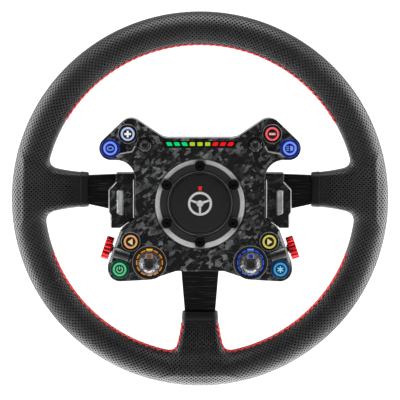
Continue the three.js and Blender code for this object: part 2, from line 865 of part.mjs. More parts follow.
ballAngles.forEach((angle, i) => {
  const ball = add(`qr_ball_${i + 1}`, new THREE.SphereGeometry(BALL_RADIUS, 8, 6), materials.steel());
  ball.position.set(
    BALL_CENTRE_RADIUS * Math.cos(angle),
    BALL_Y,
    BALL_CENTRE_RADIUS * Math.sin(angle),
  );
});

const snapRing = new THREE.Shape();
const ringEnds = [RETAINER.halfGap, 2 * Math.PI - RETAINER.halfGap];
snapRing.absarc(0, 0, RETAINER.radius, ...ringEnds);
snapRing.absarc(0, 0, BODY_RADIUS - RETAINER.depth + GAP, ...ringEnds.toReversed(), true);
const retainer = plate(snapRing, RETAINER.back, RETAINER.front, { arcs: 12 });
add('qr_retaining_ring', retainer, materials.steel());

/** Round coil spring between the flange and the collar. */
class Coil extends THREE.Curve {
  getPoint(t) {
    const angle = t * SPRING.turns * 2 * Math.PI;
    const inset = SPRING.wire + SPRING.end;
    const y = FLANGE_BACK + inset + t * (COLLAR_FRONT - FLANGE_BACK - 2 * inset);
    return new THREE.Vector3(SPRING.radius * Math.cos(angle), y, SPRING.radius * Math.sin(angle));
  }
}
const wire = new THREE.Shape();
wire.absarc(0, 0, SPRING.wire, 0, 2 * Math.PI);
const spring = new THREE.ExtrudeGeometry(wire, {
  steps: 36,
  curveSegments: 2,
  bevelEnabled: false,
  extrudePath: new Coil(),
});
add('qr_spring', spring, materials.steel());

export default wheel;
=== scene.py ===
"""Looks of the quick release steering wheel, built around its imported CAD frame.

Lengths are millimetres until mesh_object() turns them into metres. The wheel lies in the XZ
plane, the driver is on the -Y side, and outlines are rows of (x, z, corner radius).
"""

import json
import math

import bmesh
import bpy
import numpy as np
from mathutils import Matrix, Vector
from mathutils.geometry import delaunay_2d_cdt


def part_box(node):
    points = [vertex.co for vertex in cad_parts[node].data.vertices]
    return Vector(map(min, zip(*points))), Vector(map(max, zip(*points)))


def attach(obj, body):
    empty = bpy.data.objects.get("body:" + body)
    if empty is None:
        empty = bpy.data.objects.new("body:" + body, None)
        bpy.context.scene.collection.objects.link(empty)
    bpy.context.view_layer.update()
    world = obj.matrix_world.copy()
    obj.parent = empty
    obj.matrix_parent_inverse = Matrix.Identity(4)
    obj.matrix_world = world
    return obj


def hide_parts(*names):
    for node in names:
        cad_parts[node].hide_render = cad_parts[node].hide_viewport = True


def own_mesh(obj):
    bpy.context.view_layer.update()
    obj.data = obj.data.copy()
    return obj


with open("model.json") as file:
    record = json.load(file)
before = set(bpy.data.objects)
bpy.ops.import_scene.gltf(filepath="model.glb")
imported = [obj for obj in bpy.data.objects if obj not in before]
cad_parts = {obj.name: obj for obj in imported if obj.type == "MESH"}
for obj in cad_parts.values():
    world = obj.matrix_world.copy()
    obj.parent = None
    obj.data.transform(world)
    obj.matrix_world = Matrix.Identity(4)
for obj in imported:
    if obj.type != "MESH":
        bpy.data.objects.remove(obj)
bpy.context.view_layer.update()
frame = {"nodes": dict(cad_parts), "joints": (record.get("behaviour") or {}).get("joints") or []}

MM = 0.001
SIDES = {"left": -1, "right": 1}
ARC_STEP = math.radians(7.5)
scene = bpy.context.scene


def box_mm(node):
    """Lowest and highest corner of a CAD node, in millimetres."""
    low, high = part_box(node)
    return Vector(low) / MM, Vector(high) / MM


def middle_of(node):
    """Centre of a CAD node's box, in millimetres."""
    low, high = box_mm(node)
    return (low + high) / 2


# ---------------------------------------------------------------- sizes read from the frame

leather_low, leather_high = box_mm("rim_leather")
GRIP_RADIUS = (leather_high.y - leather_low.y) / 2
RIM_Y = (leather_high.y + leather_low.y) / 2
RIM_RADIUS = leather_high.x - GRIP_RADIUS
FRAME_FRONT, FRAME_BACK = box_mm("rim_frame")[0].y, box_mm("rim_frame")[1].y
HOUSING_FRONT, HOUSING_BACK = box_mm("rear_housing")[0].y, box_mm("rear_housing")[1].y
PLATE_BACK = box_mm("front_plate")[1].y
PLATE_THICKNESS = 3.7
PLATE_FRONT = PLATE_BACK - PLATE_THICKNESS
WINDOW_LOW, WINDOW_HIGH = box_mm("shift_light_window")
CAP_RADIUS = box_mm("center_cap")[1].x
RING_FRONT = box_mm("center_ring")[0].y
BOLT_POSITIONS = [middle_of(f"hub_bolt_{i + 1}") for i in range(6)]
FLANGE_RADIUS = box_mm("qr_body")[1].x


# ---------------------------------------------------------------- mesh helpers


def mesh_object(name, vertices, faces):
    """A mesh object from points in millimetres, welded and with its faces turned outwards."""
    mesh = bpy.data.meshes.new(name)
    mesh.from_pydata((np.asarray(vertices, float) * MM).tolist(), [], faces)
    bm = bmesh.new()
    bm.from_mesh(mesh)
    bmesh.ops.remove_doubles(bm, verts=bm.verts, dist=1e-7)
    bmesh.ops.recalc_face_normals(bm, faces=bm.faces)
    bm.to_mesh(mesh)
    bm.free()
    obj = bpy.data.objects.new(name, mesh)
    scene.collection.objects.link(obj)
    return obj


def outline(corners):
    """The points of a closed outline, with each corner rounded by its radius."""
    points = []
    for i, (x, z, *rest) in enumerate(corners):
        radius = rest[0] if rest else 0
        corner = Vector((x, z))
        if radius == 0:
            points.append((x, z))
            continue
        before = (Vector(corners[i - 1][:2]) - corner).normalized()
        after = (Vector(corners[(i + 1) % len(corners)][:2]) - corner).normalized()
        half = before.angle(after) / 2
        centre = corner + (before + after).normalized() * (radius / math.sin(half))
        start = corner + before * (radius / math.tan(half)) - centre
        turn = math.pi - 2 * half
        steps = max(2, math.ceil(turn / ARC_STEP))
        sign = -1 if before.cross(after) > 0 else 1
        first = math.atan2(start.y, start.x)
        for k in range(steps + 1):
            angle = first + sign * turn * k / steps
            points.append(polar(radius, angle, centre.x, centre.y))
    return points


def both_sides(right_half):
    """Corners of an outline that is the same left and right, from its right half."""
    return right_half + [(-x, z, *rest) for x, z, *rest in reversed(right_half)]


def mirror(points, sign):
    """Corners or points on the side that sign stands for."""
    return [(sign * x, *rest) for x, *rest in points]


def polar(radius, angle, x=0, z=0):
    """The point at a radius and an angle about (x, z)."""
    return x + radius * math.cos(angle), z + radius * math.sin(angle)


def circle(radius, x=0, z=0, steps=48):
    """Points of a circle."""
    return [polar(radius, 2 * math.pi * i / steps, x, z) for i in range(steps)]


def spun(corners, angle, x=0, z=0):
    """Corners turned about the middle and then moved."""
    turn = Matrix.Rotation(angle, 2)
    return [(*(turn @ Vector(corner[:2]) + Vector((x, z))), *corner[2:]) for corner in corners]


def ring_faces(rings, count, closed=False):
    """Quads between rings of count points; the last ring meets the first where closed."""
    faces = []
    for r in range(rings if closed else rings - 1):
        a, b = r * count, (r + 1) % rings * count
        for k in range(count):
            j = (k + 1) % count
            faces.append((a + k, a + j, b + j, b + k))
    return faces


def capped_faces(rings, count):
    """Quads between rings of count points, and a face over each end."""
    last = (rings - 1) * count
    return [*ring_faces(rings, count), tuple(range(count)), tuple(range(last, last + count))]


def inset(points, distance):
    """A closed outline moved inwards by an even distance."""
    here = np.asarray(points, float)
    ahead = np.roll(here, -1, axis=0)
    area = np.sum(here[:, 0] * ahead[:, 1] - ahead[:, 0] * here[:, 1])
    edge = ahead - here
    edge /= np.linalg.norm(edge, axis=1)[:, None] + 1e-12
    normal = np.stack([-edge[:, 1], edge[:, 0]], axis=1) * (1 if area > 0 else -1)
    behind = np.roll(normal, 1, axis=0)
    miter = (normal + behind) / (1 + np.sum(normal * behind, axis=1))[:, None]
    return here + miter * distance


def edge_rows(back, front, back_round, front_round, steps=3):
    """Rows of (inset, y) from a back face to a front face, with rounded edges between them."""
    rim = 0.15
    rows = [(back_round + rim, back)]
    for k in range(steps + 1):
        angle = k / steps * math.pi / 2
        rows.append((back_round * (1 - math.sin(angle)), back - back_round * (1 - math.cos(angle))))
    for k in range(steps + 1):
        angle = k / steps * math.pi / 2
        rows.append((front_round * (1 - math.cos(angle)), front + front_round * (1 - math.sin(angle))))
    rows.append((front_round + rim, front))
    return rows


def flat_mesh(outer, rows, holes=()):
    """Points and faces of an outline with holes, carried through rows of (inset, y)."""
    loops = [outer, *holes]
    vertices, faces, ends = [], [], ([], [])
    for k, loop in enumerate(loops):
        count = len(loop)
        start = len(vertices)
        for distance, y in rows:
            moved = inset(loop, distance if k == 0 else -distance)
            vertices += [(x, y, z) for x, z in moved]
        faces += [tuple(start + i for i in face) for face in ring_faces(len(rows), count)]
        last = start + (len(rows) - 1) * count
        ends[0].append(range(start, start + count))
        ends[1].append(range(last, last + count))
    for end in ends:
        faces += filled(vertices, end)
    return vertices, faces


def filled(vertices, rings):
    """Triangles that fill an outline, leaving its holes open."""
    order = [i for ring in rings for i in ring]
    flat = [Vector((vertices[i][0], vertices[i][2])) for i in order]
    edges, start = [], 0
    for ring in rings:
        count = len(ring)
        edges += [(start + i, start + (i + 1) % count) for i in range(count)]
        start += count
    places, _, triangles, origins = delaunay_2d_cdt(flat, edges, [], 1, 1e-7)[:4]
    kept, first = [], len(rings[0])
    holes = []
    for ring in rings[1:]:
        holes.append(flat[first:first + len(ring)])
        first += len(ring)
    for triangle in triangles:
        middle = sum((places[i] for i in triangle), Vector((0, 0))) / 3
        if not any(is_inside(middle, hole) for hole in holes):
            kept.append(tuple(order[origins[i][0]] for i in triangle))
    return kept


def is_inside(point, loop):
    """Whether a point lies within a closed loop."""
    crossings = 0
    for a, b in zip(loop, loop[1:] + loop[:1]):
        if (a.y > point.y) != (b.y > point.y):
            crossings += point.x < a.x + (b.x - a.x) * (point.y - a.y) / (b.y - a.y)
    return crossings % 2 == 1


def flat_piece(name, outer, rows, holes=()):
    return mesh_object(name, *flat_mesh(outer, rows, holes))


def joined(name, parts):
    """One object from several (points, faces)."""
    vertices, faces = [], []
    for points, polygons in parts:
        start = len(vertices)
        vertices += [tuple(point) for point in points]
        faces += [tuple(start + i for i in polygon) for polygon in polygons]
    return mesh_object(name, vertices, faces)


def turned_mesh(corners, x=0, z=0, steps=72):
    """Points and faces of a profile of (radius, y, corner radius) turned about Y."""
    vertices, rings, faces = [], [], []
    for radius, y in outline(corners):
        if radius < 1e-6:
            rings.append([len(vertices)])
            vertices.append((x, y, z))
            continue
        rings.append(list(range(len(vertices), len(vertices) + steps)))
        vertices += [(px, y, pz) for px, pz in circle(radius, x, z, steps)]
    for lower, upper in zip(rings, rings[1:] + rings[:1]):
        for i in range(steps):
            j = (i + 1) % steps
            low, high = len(lower), len(upper)
            face = tuple(dict.fromkeys([lower[i % low], lower[j % low], upper[j % high], upper[i % high]]))
            if len(face) > 2:
                faces.append(face)
    return vertices, faces


def turned(name, corners, x=0, z=0, steps=72):
    return mesh_object(name, *turned_mesh(corners, x, z, steps))


def tube_mesh(path, radius, sides=8):
    """Points and faces of a round tube along a path."""
    path = np.asarray(path, float)
    tangent = np.gradient(path, axis=0)
    tangent /= np.linalg.norm(tangent, axis=1)[:, None]
    guide = np.array([0.0, 1.0, 0.0]) if abs(tangent[0][1]) < 0.8 else np.array([1.0, 0.0, 0.0])
    vertices = []
    for point, along in zip(path, tangent):
        side = np.cross(along, guide)
        side /= np.linalg.norm(side)
        up = np.cross(side, along)
        guide = up
        for k in range(sides):
            angle = 2 * math.pi * k / sides
            vertices.append(point + radius * (math.cos(angle) * side + math.sin(angle) * up))
    return vertices, capped_faces(len(path), sides)


def tube(name, path, radius, sides=8):
    return mesh_object(name, *tube_mesh(path, radius, sides))


def applied(obj):
    """Turns an object's modifiers into its mesh."""
    bpy.context.view_layer.update()
    evaluated = obj.evaluated_get(bpy.context.evaluated_depsgraph_get())
    obj.data = bpy.data.meshes.new_from_object(evaluated)
    obj.modifiers.clear()
    return obj


def cut(obj, *tools, operation="DIFFERENCE"):
    """Cuts tools out of obj, or joins them to it, and removes the tools."""
    for tool in tools:
        modifier = obj.modifiers.new("cut", "BOOLEAN")
        modifier.operation = operation
        modifier.solver = "EXACT"
        modifier.object = tool
        applied(obj)
        bpy.data.objects.remove(tool)
    return obj


def soften(obj, width, segments=2, angle=30):
    """Rounds an object's sharp edges."""
    modifier = obj.modifiers.new("soft_edges", "BEVEL")
    modifier.width = width * MM
    modifier.segments = segments
    modifier.limit_method = "ANGLE"
    modifier.angle_limit = math.radians(angle)
    modifier.harden_normals = True
    return obj


def publish(obj, materials, body, replaced=(), sharp=35):
    """Gives a piece its materials and shading, hangs it on the body it rides on, and hides the CAD parts it
    replaces.
    """
    obj.data.materials.clear()
    for material in materials if isinstance(materials, (list, tuple)) else [materials]:
        obj.data.materials.append(material)
    obj.data.shade_smooth()
    obj.data.set_sharp_from_angle(angle=math.radians(sharp))
    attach(obj, body)
    if replaced:
        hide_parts(*replaced)
    return obj


# ---------------------------------------------------------------- material helpers


NOISE_ROUGHNESS = 0.55


class Graph:
    """A material's node tree, with short calls for adding nodes."""

    def __init__(self, name):
        self.material = bpy.data.materials.new(name)
        self.material.use_nodes = True
        self.tree = self.material.node_tree
        self.shader = self.tree.nodes["Principled BSDF"]

    def node(self, kind, **settings):
        made = self.tree.nodes.new(kind)
        for key, value in settings.items():
            setattr(made, key, value)
        return made

    def put(self, socket, value):
        """Links a socket to value, or sets it where value is a number or colour."""
        if isinstance(value, bpy.types.NodeSocket):
            self.tree.links.new(value, socket)
        elif isinstance(value, (tuple, list)) and socket.type == "RGBA" and len(value) == 3:
            socket.default_value = (*value, 1)
        else:
            socket.default_value = value

    def math(self, operation, *values):
        made = self.node("ShaderNodeMath", operation=operation)
        for socket, value in zip(made.inputs, values):
            self.put(socket, value)
        return made.outputs[0]

    def vector(self, operation, *values):
        made = self.node("ShaderNodeVectorMath", operation=operation)
        for socket, value in zip(made.inputs, values):
            self.put(socket, value)
        return made.outputs["Value" if operation == "LENGTH" else "Vector"]

    def split(self, value, kind="XYZ"):
        """The three parts of a vector, or of a colour where kind is Color."""
        made = self.node(f"ShaderNodeSeparate{kind}")
        self.put(made.inputs[0], value)
        return made.outputs

    def object_place(self):
        return self.node("ShaderNodeTexCoord").outputs["Object"]

    def place(self, scale=(1, 1, 1), turn=(0, 0, 0)):
        """Object coordinates in millimetres, turned and then stretched."""
        mapping = self.node("ShaderNodeMapping", vector_type="TEXTURE")
        self.put(mapping.inputs["Vector"], self.object_place())
        mapping.inputs["Rotation"].default_value = turn
        mapping.inputs["Scale"].default_value = [MM / s for s in scale]
        return mapping.outputs["Vector"]

    def noise(self, vector, scale, detail=3, output="Fac"):
        made = self.node("ShaderNodeTexNoise")
        self.put(made.inputs["Vector"], vector)
        made.inputs["Scale"].default_value = scale
        made.inputs["Detail"].default_value = detail
        made.inputs["Roughness"].default_value = NOISE_ROUGHNESS if output == "Fac" else 0.5
        return made.outputs[output]

    def cells(self, vector, scale, feature="F1", metric="EUCLIDEAN"):
        made = self.node("ShaderNodeTexVoronoi", feature=feature)
        if feature != "DISTANCE_TO_EDGE":
            made.distance = metric
        self.put(made.inputs["Vector"], vector)
        made.inputs["Scale"].default_value = scale
        return made

    def ramp(self, value, stops):
        """A colour ramp from (position, colour) stops."""
        made = self.node("ShaderNodeValToRGB")
        self.put(made.inputs["Fac"], value)
        elements = made.color_ramp.elements
        while len(elements) < len(stops):
            elements.new(0.5)
        for element, (position, colour) in zip(elements, stops):
            element.position = position
            element.color = (*colour, 1)
        return made.outputs["Color"]

    def remap(self, value, from_low, from_high, to_low=0.0, to_high=1.0):
        made = self.node("ShaderNodeMapRange", interpolation_type="SMOOTHSTEP")
        for socket, number in zip(made.inputs, (value, from_low, from_high, to_low, to_high)):
            self.put(socket, number)
        return made.outputs["Result"]

    def mix(self, factor, first, second):
        made = self.node("ShaderNodeMix", data_type="RGBA")
        self.put(made.inputs[0], factor)
        self.put(made.inputs[6], first)
        self.put(made.inputs[7], second)
        return made.outputs[2]

    def bump(self, height, strength, distance, normal=None):
        made = self.node("ShaderNodeBump")
        made.inputs["Strength"].default_value = strength
        made.inputs["Distance"].default_value = distance * MM
        self.put(made.inputs["Height"], height)
        if normal is not None:
            self.put(made.inputs["Normal"], normal)
        return made.outputs["Normal"]

    def set(self, **inputs):
        """Sets or links the shader's inputs, named with underscores for spaces."""
        for key, value in inputs.items():
            self.put(self.shader.inputs[key.replace("_", " ")], value)


def scaled(colour, factor):
    return tuple(channel * factor for channel in colour)


def grey(level, tint=0.0):
    """A neutral colour, slightly blue where tint is above 0."""
    return (level, level * (1 + tint * 0.5), level * (1 + tint))


def plastic(name, colour, roughness, grain=0.25, coat=0.0, spread=0.35, shine=0.3):
    """Moulded or painted surface: faint mottling, fine grain and uneven gloss."""
    g = Graph(name)
    at = g.place()
    mottle = g.noise(at, 0.12, 4)
    fine = g.noise(at, 2.2, 2)
    g.set(
        Base_Color=g.mix(mottle, scaled(colour, 1 - spread), scaled(colour, 1 + spread)),
        Roughness=g.remap(g.noise(at, 0.3, 3), 0.3, 0.7, roughness * 0.85, roughness * 1.15),
        Normal=g.bump(fine, grain, 0.05),
        Coat_Weight=coat,
        Coat_Roughness=0.06,
        Specular_IOR_Level=shine,
    )
    return g.material


def metal(name, colour, roughness, metallic=1.0):
    """Machined metal with fine tool marks."""
    g = Graph(name)
    lines = g.noise(g.place(scale=(1, 1, 12)), 1.6, 4)
    cloud = g.noise(g.place(), 0.1, 3)
    dark = scaled(colour, 0.75)
    shade = g.mix(lines, dark, colour)
    g.set(
        Base_Color=g.mix(g.math("MULTIPLY", cloud, 0.35), shade, dark),
        Metallic=metallic,
        Roughness=g.remap(lines, 0.3, 0.7, roughness * 0.75, roughness * 1.25),
        Normal=g.bump(lines, 0.12, 0.04),
    )
    return g.material


def glowing(name, colour, strength):
    """A lit plastic window with slightly uneven light."""
    g = Graph(name)
    cloud = g.noise(g.place(), 0.9, 2)
    g.set(
        Base_Color=scaled(colour, 0.02),
        Roughness=0.25,
        Emission_Color=g.mix(g.remap(cloud, 0.25, 0.75), scaled(colour, 0.72), colour),
        Emission_Strength=strength,
        Specular_IOR_Level=0.02,
    )
    return g.material


# ---------------------------------------------------------------- materials

PERFORATION_PITCH = 2.8
PERFORATION_RADIUS = 0.8
SLEEVE_SHADE = (104.0, 138.0)  # radii of the painted shade on the sleeves, from darkest to full colour


def perforated_leather():
    """Black leather with grain and a diamond grid of holes, laid out by the grip's own coordinates."""
    g = Graph("perforated_leather")
    u, v, cover = g.split(g.node("ShaderNodeAttribute", attribute_name="hide").outputs["Vector"])
    off = [g.math("SUBTRACT", g.math("FRACT", part), 0.5) for part in (u, v)]
    square = g.math("ADD", g.math("MULTIPLY", off[0], off[0]), g.math("MULTIPLY", off[1], off[1]))
    reach = g.math("SQRT", square)
    edge = PERFORATION_RADIUS / PERFORATION_PITCH
    # The holes are painted near black and without reflection: partly the dark backing, partly painted shade
    # inside them.
    hole = g.math("MULTIPLY", g.remap(reach, edge * 1.25, edge * 0.75), cover)
    at = g.place()
    grain = g.cells(at, 0.75, feature="DISTANCE_TO_EDGE").outputs["Distance"]
    pores = g.noise(at, 0.5, 4)
    surface = g.math("ADD", g.remap(grain, 0.0, 0.25), g.math("MULTIPLY", pores, 0.8))
    cloud = g.noise(at, 0.03, 4)
    hide_colour = g.mix(g.remap(cloud, 0.3, 0.7), (0.009, 0.009, 0.0095), (0.017, 0.017, 0.018))
    creased = g.mix(g.remap(grain, 0.0, 0.12), (0.005, 0.005, 0.0055), hide_colour)
    # Painted shade: the leather darkens and loses its shine towards the sleeves' ends.
    radius = g.vector("LENGTH", g.vector("MULTIPLY", at, (1, 0, 1)))
    shade = g.remap(radius, SLEEVE_SHADE[1], SLEEVE_SHADE[0])
    sleeve_painted_shade = g.mix(shade, creased, (0.003, 0.003, 0.003))
    g.set(
        Base_Color=g.mix(hole, sleeve_painted_shade, (0.0008, 0.0008, 0.0008)),
        Metallic=g.math("MAXIMUM", hole, g.math("MULTIPLY", shade, 0.6)),
        Roughness=g.math("ADD", g.remap(cloud, 0.3, 0.7, 0.36, 0.44), g.math("MULTIPLY", hole, 0.5)),
        Normal=g.bump(g.math("MULTIPLY", hole, -1.0), 1.0, 0.8, g.bump(surface, 0.35, 0.12)),
        Specular_IOR_Level=0.45,
    )
    return g.material


def smooth_leather():
    """The folded, unperforated band at the end of a sleeve."""
    g = Graph("smooth_leather")
    at = g.place()
    grain = g.cells(at, 0.8, feature="DISTANCE_TO_EDGE").outputs["Distance"]
    cloud = g.noise(at, 0.06, 4)
    g.set(
        Base_Color=g.mix(g.remap(cloud, 0.3, 0.7), (0.003, 0.003, 0.0032), (0.006, 0.006, 0.0064)),
        Metallic=0.55,
        Roughness=g.remap(cloud, 0.3, 0.7, 0.42, 0.52),
        Normal=g.bump(g.remap(grain, 0.0, 0.3), 0.4, 0.12),
    )
    return g.material


def thread():
    """Twisted red thread."""
    g = Graph("red_thread")
    twist = g.node("ShaderNodeTexWave", bands_direction="DIAGONAL")
    g.put(twist.inputs["Vector"], g.place())
    twist.inputs["Scale"].default_value = 0.9
    twist.inputs["Distortion"].default_value = 1.5
    cloud = g.noise(g.place(), 0.4, 3)
    bright = g.mix(cloud, (0.78, 0.012, 0.012), (0.95, 0.03, 0.026))
    g.set(
        Base_Color=g.mix(g.math("MULTIPLY", twist.outputs["Fac"], 0.35), bright, (0.42, 0.004, 0.006)),
        Roughness=g.remap(cloud, 0.3, 0.7, 0.55, 0.75),
        Normal=g.bump(twist.outputs["Fac"], 0.5, 0.2),
    )
    g.shader.inputs["Sheen Weight"].default_value = 0.3
    return g.material


def flakes(g, turn, stretch, scale, cover):
    """One layer of chopped fibre flakes: (where a flake lies, how bright its painted sheen is)."""
    at = g.place(scale=stretch, turn=(0, turn, 0))
    shake = g.noise(at, scale * 1.6, 2, "Color")
    moved = g.vector("MULTIPLY", g.vector("SUBTRACT", shake, (0.5,) * 3), (2.6,) * 3)
    cells = g.cells(g.vector("ADD", at, moved), scale, metric="CHEBYCHEV")
    pick, sheen, _ = g.split(cells.outputs["Color"], "Color")
    here = g.math("GREATER_THAN", pick, 1 - cover)
    fibres = g.noise(g.place(scale=(0.35, 1, 6), turn=(0, turn, 0)), 0.9, 2)
    # Painted sheen: each flake's brightness stands for the light its fibres catch.
    light = g.math("MULTIPLY", sheen, g.remap(fibres, 0.25, 0.75, 0.65, 1.15))
    return here, light


FLAKE_LAYERS = [  # turn about Y in degrees, stretch along X and Z, cells per mm, share of cells
    (12, (1.0, 1, 1.9), 0.12, 1.0),
    (78, (1.0, 1, 1.8), 0.13, 0.5),
    (-38, (1.0, 1, 2.1), 0.15, 0.42),
    (143, (1.0, 1, 1.6), 0.22, 0.3),
]


def forged_carbon(name="forged_carbon", darkest=0.003, brightest=0.22):
    """Chopped carbon fibre under a clear coat: overlapping flakes, each with its own sheen painted into the
    base colour.
    """
    g = Graph(name)
    colour = None
    for degrees, stretch, scale, cover in FLAKE_LAYERS:
        here, light = flakes(g, math.radians(degrees), stretch, scale, cover)
        shade = g.ramp(light, [
            (0.0, grey(darkest, 0.04)),
            (0.45, grey(darkest * 2.2, 0.04)),
            (0.7, grey(brightest * 0.35, 0.04)),
            (1.0, grey(brightest, 0.04)),
        ])
        colour = shade if colour is None else g.mix(here, colour, shade)
    at = g.place()
    patches = g.remap(g.noise(at, 0.05, 3), 0.4, 0.62, 0.0, 0.75)
    g.set(
        Base_Color=g.mix(patches, colour, grey(darkest)),
        Roughness=g.remap(g.noise(at, 0.2, 3), 0.3, 0.7, 0.26, 0.42),
        Normal=g.bump(g.noise(at, 0.12, 3), 0.06, 0.4),
        Coat_Weight=0.12,
        Coat_Roughness=0.08,
        Specular_IOR_Level=0.15,
    )
    return g.material


def brushed_spoke():
    """Matt black anodised spokes with faint cross streaks."""
    g = Graph("black_anodised")
    streaks = g.noise(g.place(scale=(0.05, 1, 1.4)), 0.8, 4)
    at = g.place()
    g.set(
        Base_Color=g.mix(g.remap(streaks, 0.52, 0.75), (0.001, 0.001, 0.001), (0.055, 0.055, 0.055)),
        Metallic=0.3,
        Specular_IOR_Level=0.2,
        Roughness=g.remap(g.noise(at, 0.4, 3), 0.3, 0.7, 0.42, 0.55),
        Normal=g.bump(g.noise(at, 1.8, 2), 0.15, 0.04),
    )
    return g.material


def ribbed_wall():
    """Light machined wall of the centre ring, ribbed along its slope."""
    g = Graph("ribbed_wall")
    x, _, z = g.split(g.object_place())
    angle = g.math("ARCTAN2", z, x)
    ribs = g.math("SINE", g.math("MULTIPLY", angle, 230.0))
    cloud = g.noise(g.place(), 0.2, 3)
    shade = g.mix(g.remap(cloud, 0.3, 0.7), (0.3, 0.3, 0.31), (0.42, 0.42, 0.43))
    g.set(
        Base_Color=g.mix(g.remap(ribs, -1.0, 1.0), (0.17, 0.17, 0.175), shade),
        Metallic=0.35,
        Roughness=g.remap(cloud, 0.3, 0.7, 0.38, 0.5),
        Normal=g.bump(ribs, 0.35, 0.25),
    )
    return g.material


def knob_crystal():
    """Smoked crystal: dark facets with fine pale strokes, painted reflections, that run out from the knob's
    axis.
    """
    g = Graph("crystal_chrome")
    at = g.place()
    shade, gloss, _ = g.split(g.cells(at, 0.4).outputs["Color"], "Color")
    # Painted reflections: pale strokes that stand for the facets catching the bright floor and lamps.
    painted_glints = g.remap(g.noise(g.place(scale=(1.6, 0.25, 0.7)), 1.2, 3), 0.54, 0.68)
    facet = g.mix(shade, (0.01, 0.01, 0.011), (0.12, 0.12, 0.125))
    g.set(
        Base_Color=g.mix(g.math("MULTIPLY", painted_glints, 0.6), facet, (0.42, 0.42, 0.44)),
        Metallic=0.7,
        Roughness=g.remap(gloss, 0.0, 1.0, 0.12, 0.26),
        Normal=g.bump(g.noise(at, 0.6, 2), 0.05, 0.1),
    )
    return g.material


def board_material():
    """Green solder mask with paler tracks."""
    g = Graph("circuit_board")
    tracks = g.cells(g.place(), 0.25, feature="DISTANCE_TO_EDGE", metric="MANHATTAN")
    line = g.remap(tracks.outputs["Distance"], 0.05, 0.1)
    g.set(
        Base_Color=g.mix(line, (0.03, 0.22, 0.09), (0.006, 0.08, 0.03)),
        Roughness=g.remap(g.noise(g.place(), 0.5, 2), 0.3, 0.7, 0.35, 0.5),
        Normal=g.bump(line, 0.3, 0.1),
    )
    return g.material


LEATHER = perforated_leather()
FOLD = smooth_leather()
THREAD = thread()
CARBON = forged_carbon()
DARK_CARBON = forged_carbon("dark_forged_carbon", 0.003, 0.12)
SPOKE = brushed_spoke()
HOUSING = plastic("housing_plastic", grey(0.03, 0.03), 0.2, grain=0.1, shine=0.6)
SATIN = plastic("satin_black", grey(0.007, 0.03), 0.4, grain=0.2)
RUBBER = plastic("stick_rubber", grey(0.003), 0.4, grain=0.06, shine=0.2)
HUMP_BLACK = plastic("hump_black", grey(0.006), 0.28, grain=0.05, shine=0.65)
GLOSS = plastic("gloss_black", grey(0.003), 0.14, grain=0.04, coat=0.2)
LENS = plastic("smoked_lens", grey(0.0015), 0.12, grain=0.03, shine=0.2)
ALUMINIUM = metal("grey_aluminium", grey(0.26, 0.03), 0.36)
DARK_ALUMINIUM = metal("dark_aluminium", grey(0.03, 0.02), 0.38, metallic=0.4)
BLACK_STEEL = metal("black_oxide", grey(0.0025), 0.25, metallic=0.1)
STEEL = metal("bright_steel", grey(0.4, 0.02), 0.3)
INK = plastic("bolt_black", grey(0.0008), 0.3, grain=0.1, shine=0.12)
RED = metal("red_anodised", (0.5, 0.005, 0.01), 0.22, metallic=0.75)
# The collar's red is a darker copy of the red anodising: painted shade against the lamps' glare behind the
# wheel.
COLLAR_RED = metal("red_collar", (0.3, 0.006, 0.01), 0.3, metallic=0.75)
RIB_GREY = metal("rib_grey", grey(0.2), 0.4, metallic=0.4)
CRYSTAL = knob_crystal()
WALL = ribbed_wall()
BRASS = metal("gold_contact", (0.75, 0.52, 0.18), 0.25)
BOARD = board_material()
FOAM = plastic("foam", grey(0.05), 0.9, grain=0.8)


# ---------------------------------------------------------------- lights that the controls show

LIGHT_COLOURS = {  # linear colour, strength
    "led_green": ((0.0, 0.72, 0.2), 1.15),
    "led_lime": ((0.42, 0.6, 0.02), 1.15),
    "led_red": ((1.0, 0.008, 0.012), 1.15),
    "white_blue": ((0.5, 0.62, 1.0), 1.0),
    "white": ((1.0, 0.95, 0.9), 1.0),
    "blue": ((0.2, 0.34, 1.0), 1.05),
    "peach": ((0.9, 0.42, 0.14), 0.95),
    "cream": ((0.88, 0.72, 0.4), 0.95),
    "green": ((0.1, 0.68, 0.26), 0.95),
    "pale_green": ((0.32, 0.78, 0.42), 0.9),
    "pink": ((1.0, 0.12, 0.14), 1.05),
    "pink_white": ((1.0, 0.45, 0.45), 1.0),
    "yellow": ((0.72, 0.62, 0.11), 0.95),
    "pale_yellow": ((0.85, 0.8, 0.38), 0.95),
    "cyan": ((0.06, 0.4, 0.72), 0.95),
    "pale_cyan": ((0.3, 0.7, 1.0), 1.0),
    "orange": ((0.85, 0.3, 0.02), 0.95),
    "orange_bright": ((0.95, 0.5, 0.05), 1.0),
    "orange_dim": ((0.32, 0.07, 0.008), 0.8),
    "blue_ring": ((0.03, 0.12, 0.85), 0.95),
    "blue_ring_bright": ((0.12, 0.3, 0.95), 0.95),
    "blue_ring_dim": ((0.01, 0.03, 0.4), 0.8),
}
LIGHTS = {name: glowing(f"glow_{name}", *look) for name, look in LIGHT_COLOURS.items()}


def tinted_glass(name, colour, glow):
    """Dark tinted plastic that its ring's light spreads into."""
    g = Graph(name)
    cloud = g.noise(g.place(), 0.25, 3)
    dim = scaled(colour, 0.6)
    g.set(
        Base_Color=g.mix(cloud, scaled(colour, 0.2), dim),
        Roughness=0.16,
        Emission_Color=g.mix(cloud, dim, colour),
        Emission_Strength=glow,
        Coat_Weight=0.2,
        Specular_IOR_Level=0.3,
    )
    return g.material


BEZELS = {
    "gloss": GLOSS,
    "blue_glass": tinted_glass("blue_glass", (0.001, 0.014, 0.19), 0.7),
    "green_glass": tinted_glass("green_glass", (0.001, 0.05, 0.032), 0.6),
    "navy_glass": tinted_glass("navy_glass", (0.0005, 0.026, 0.09), 0.75),
}
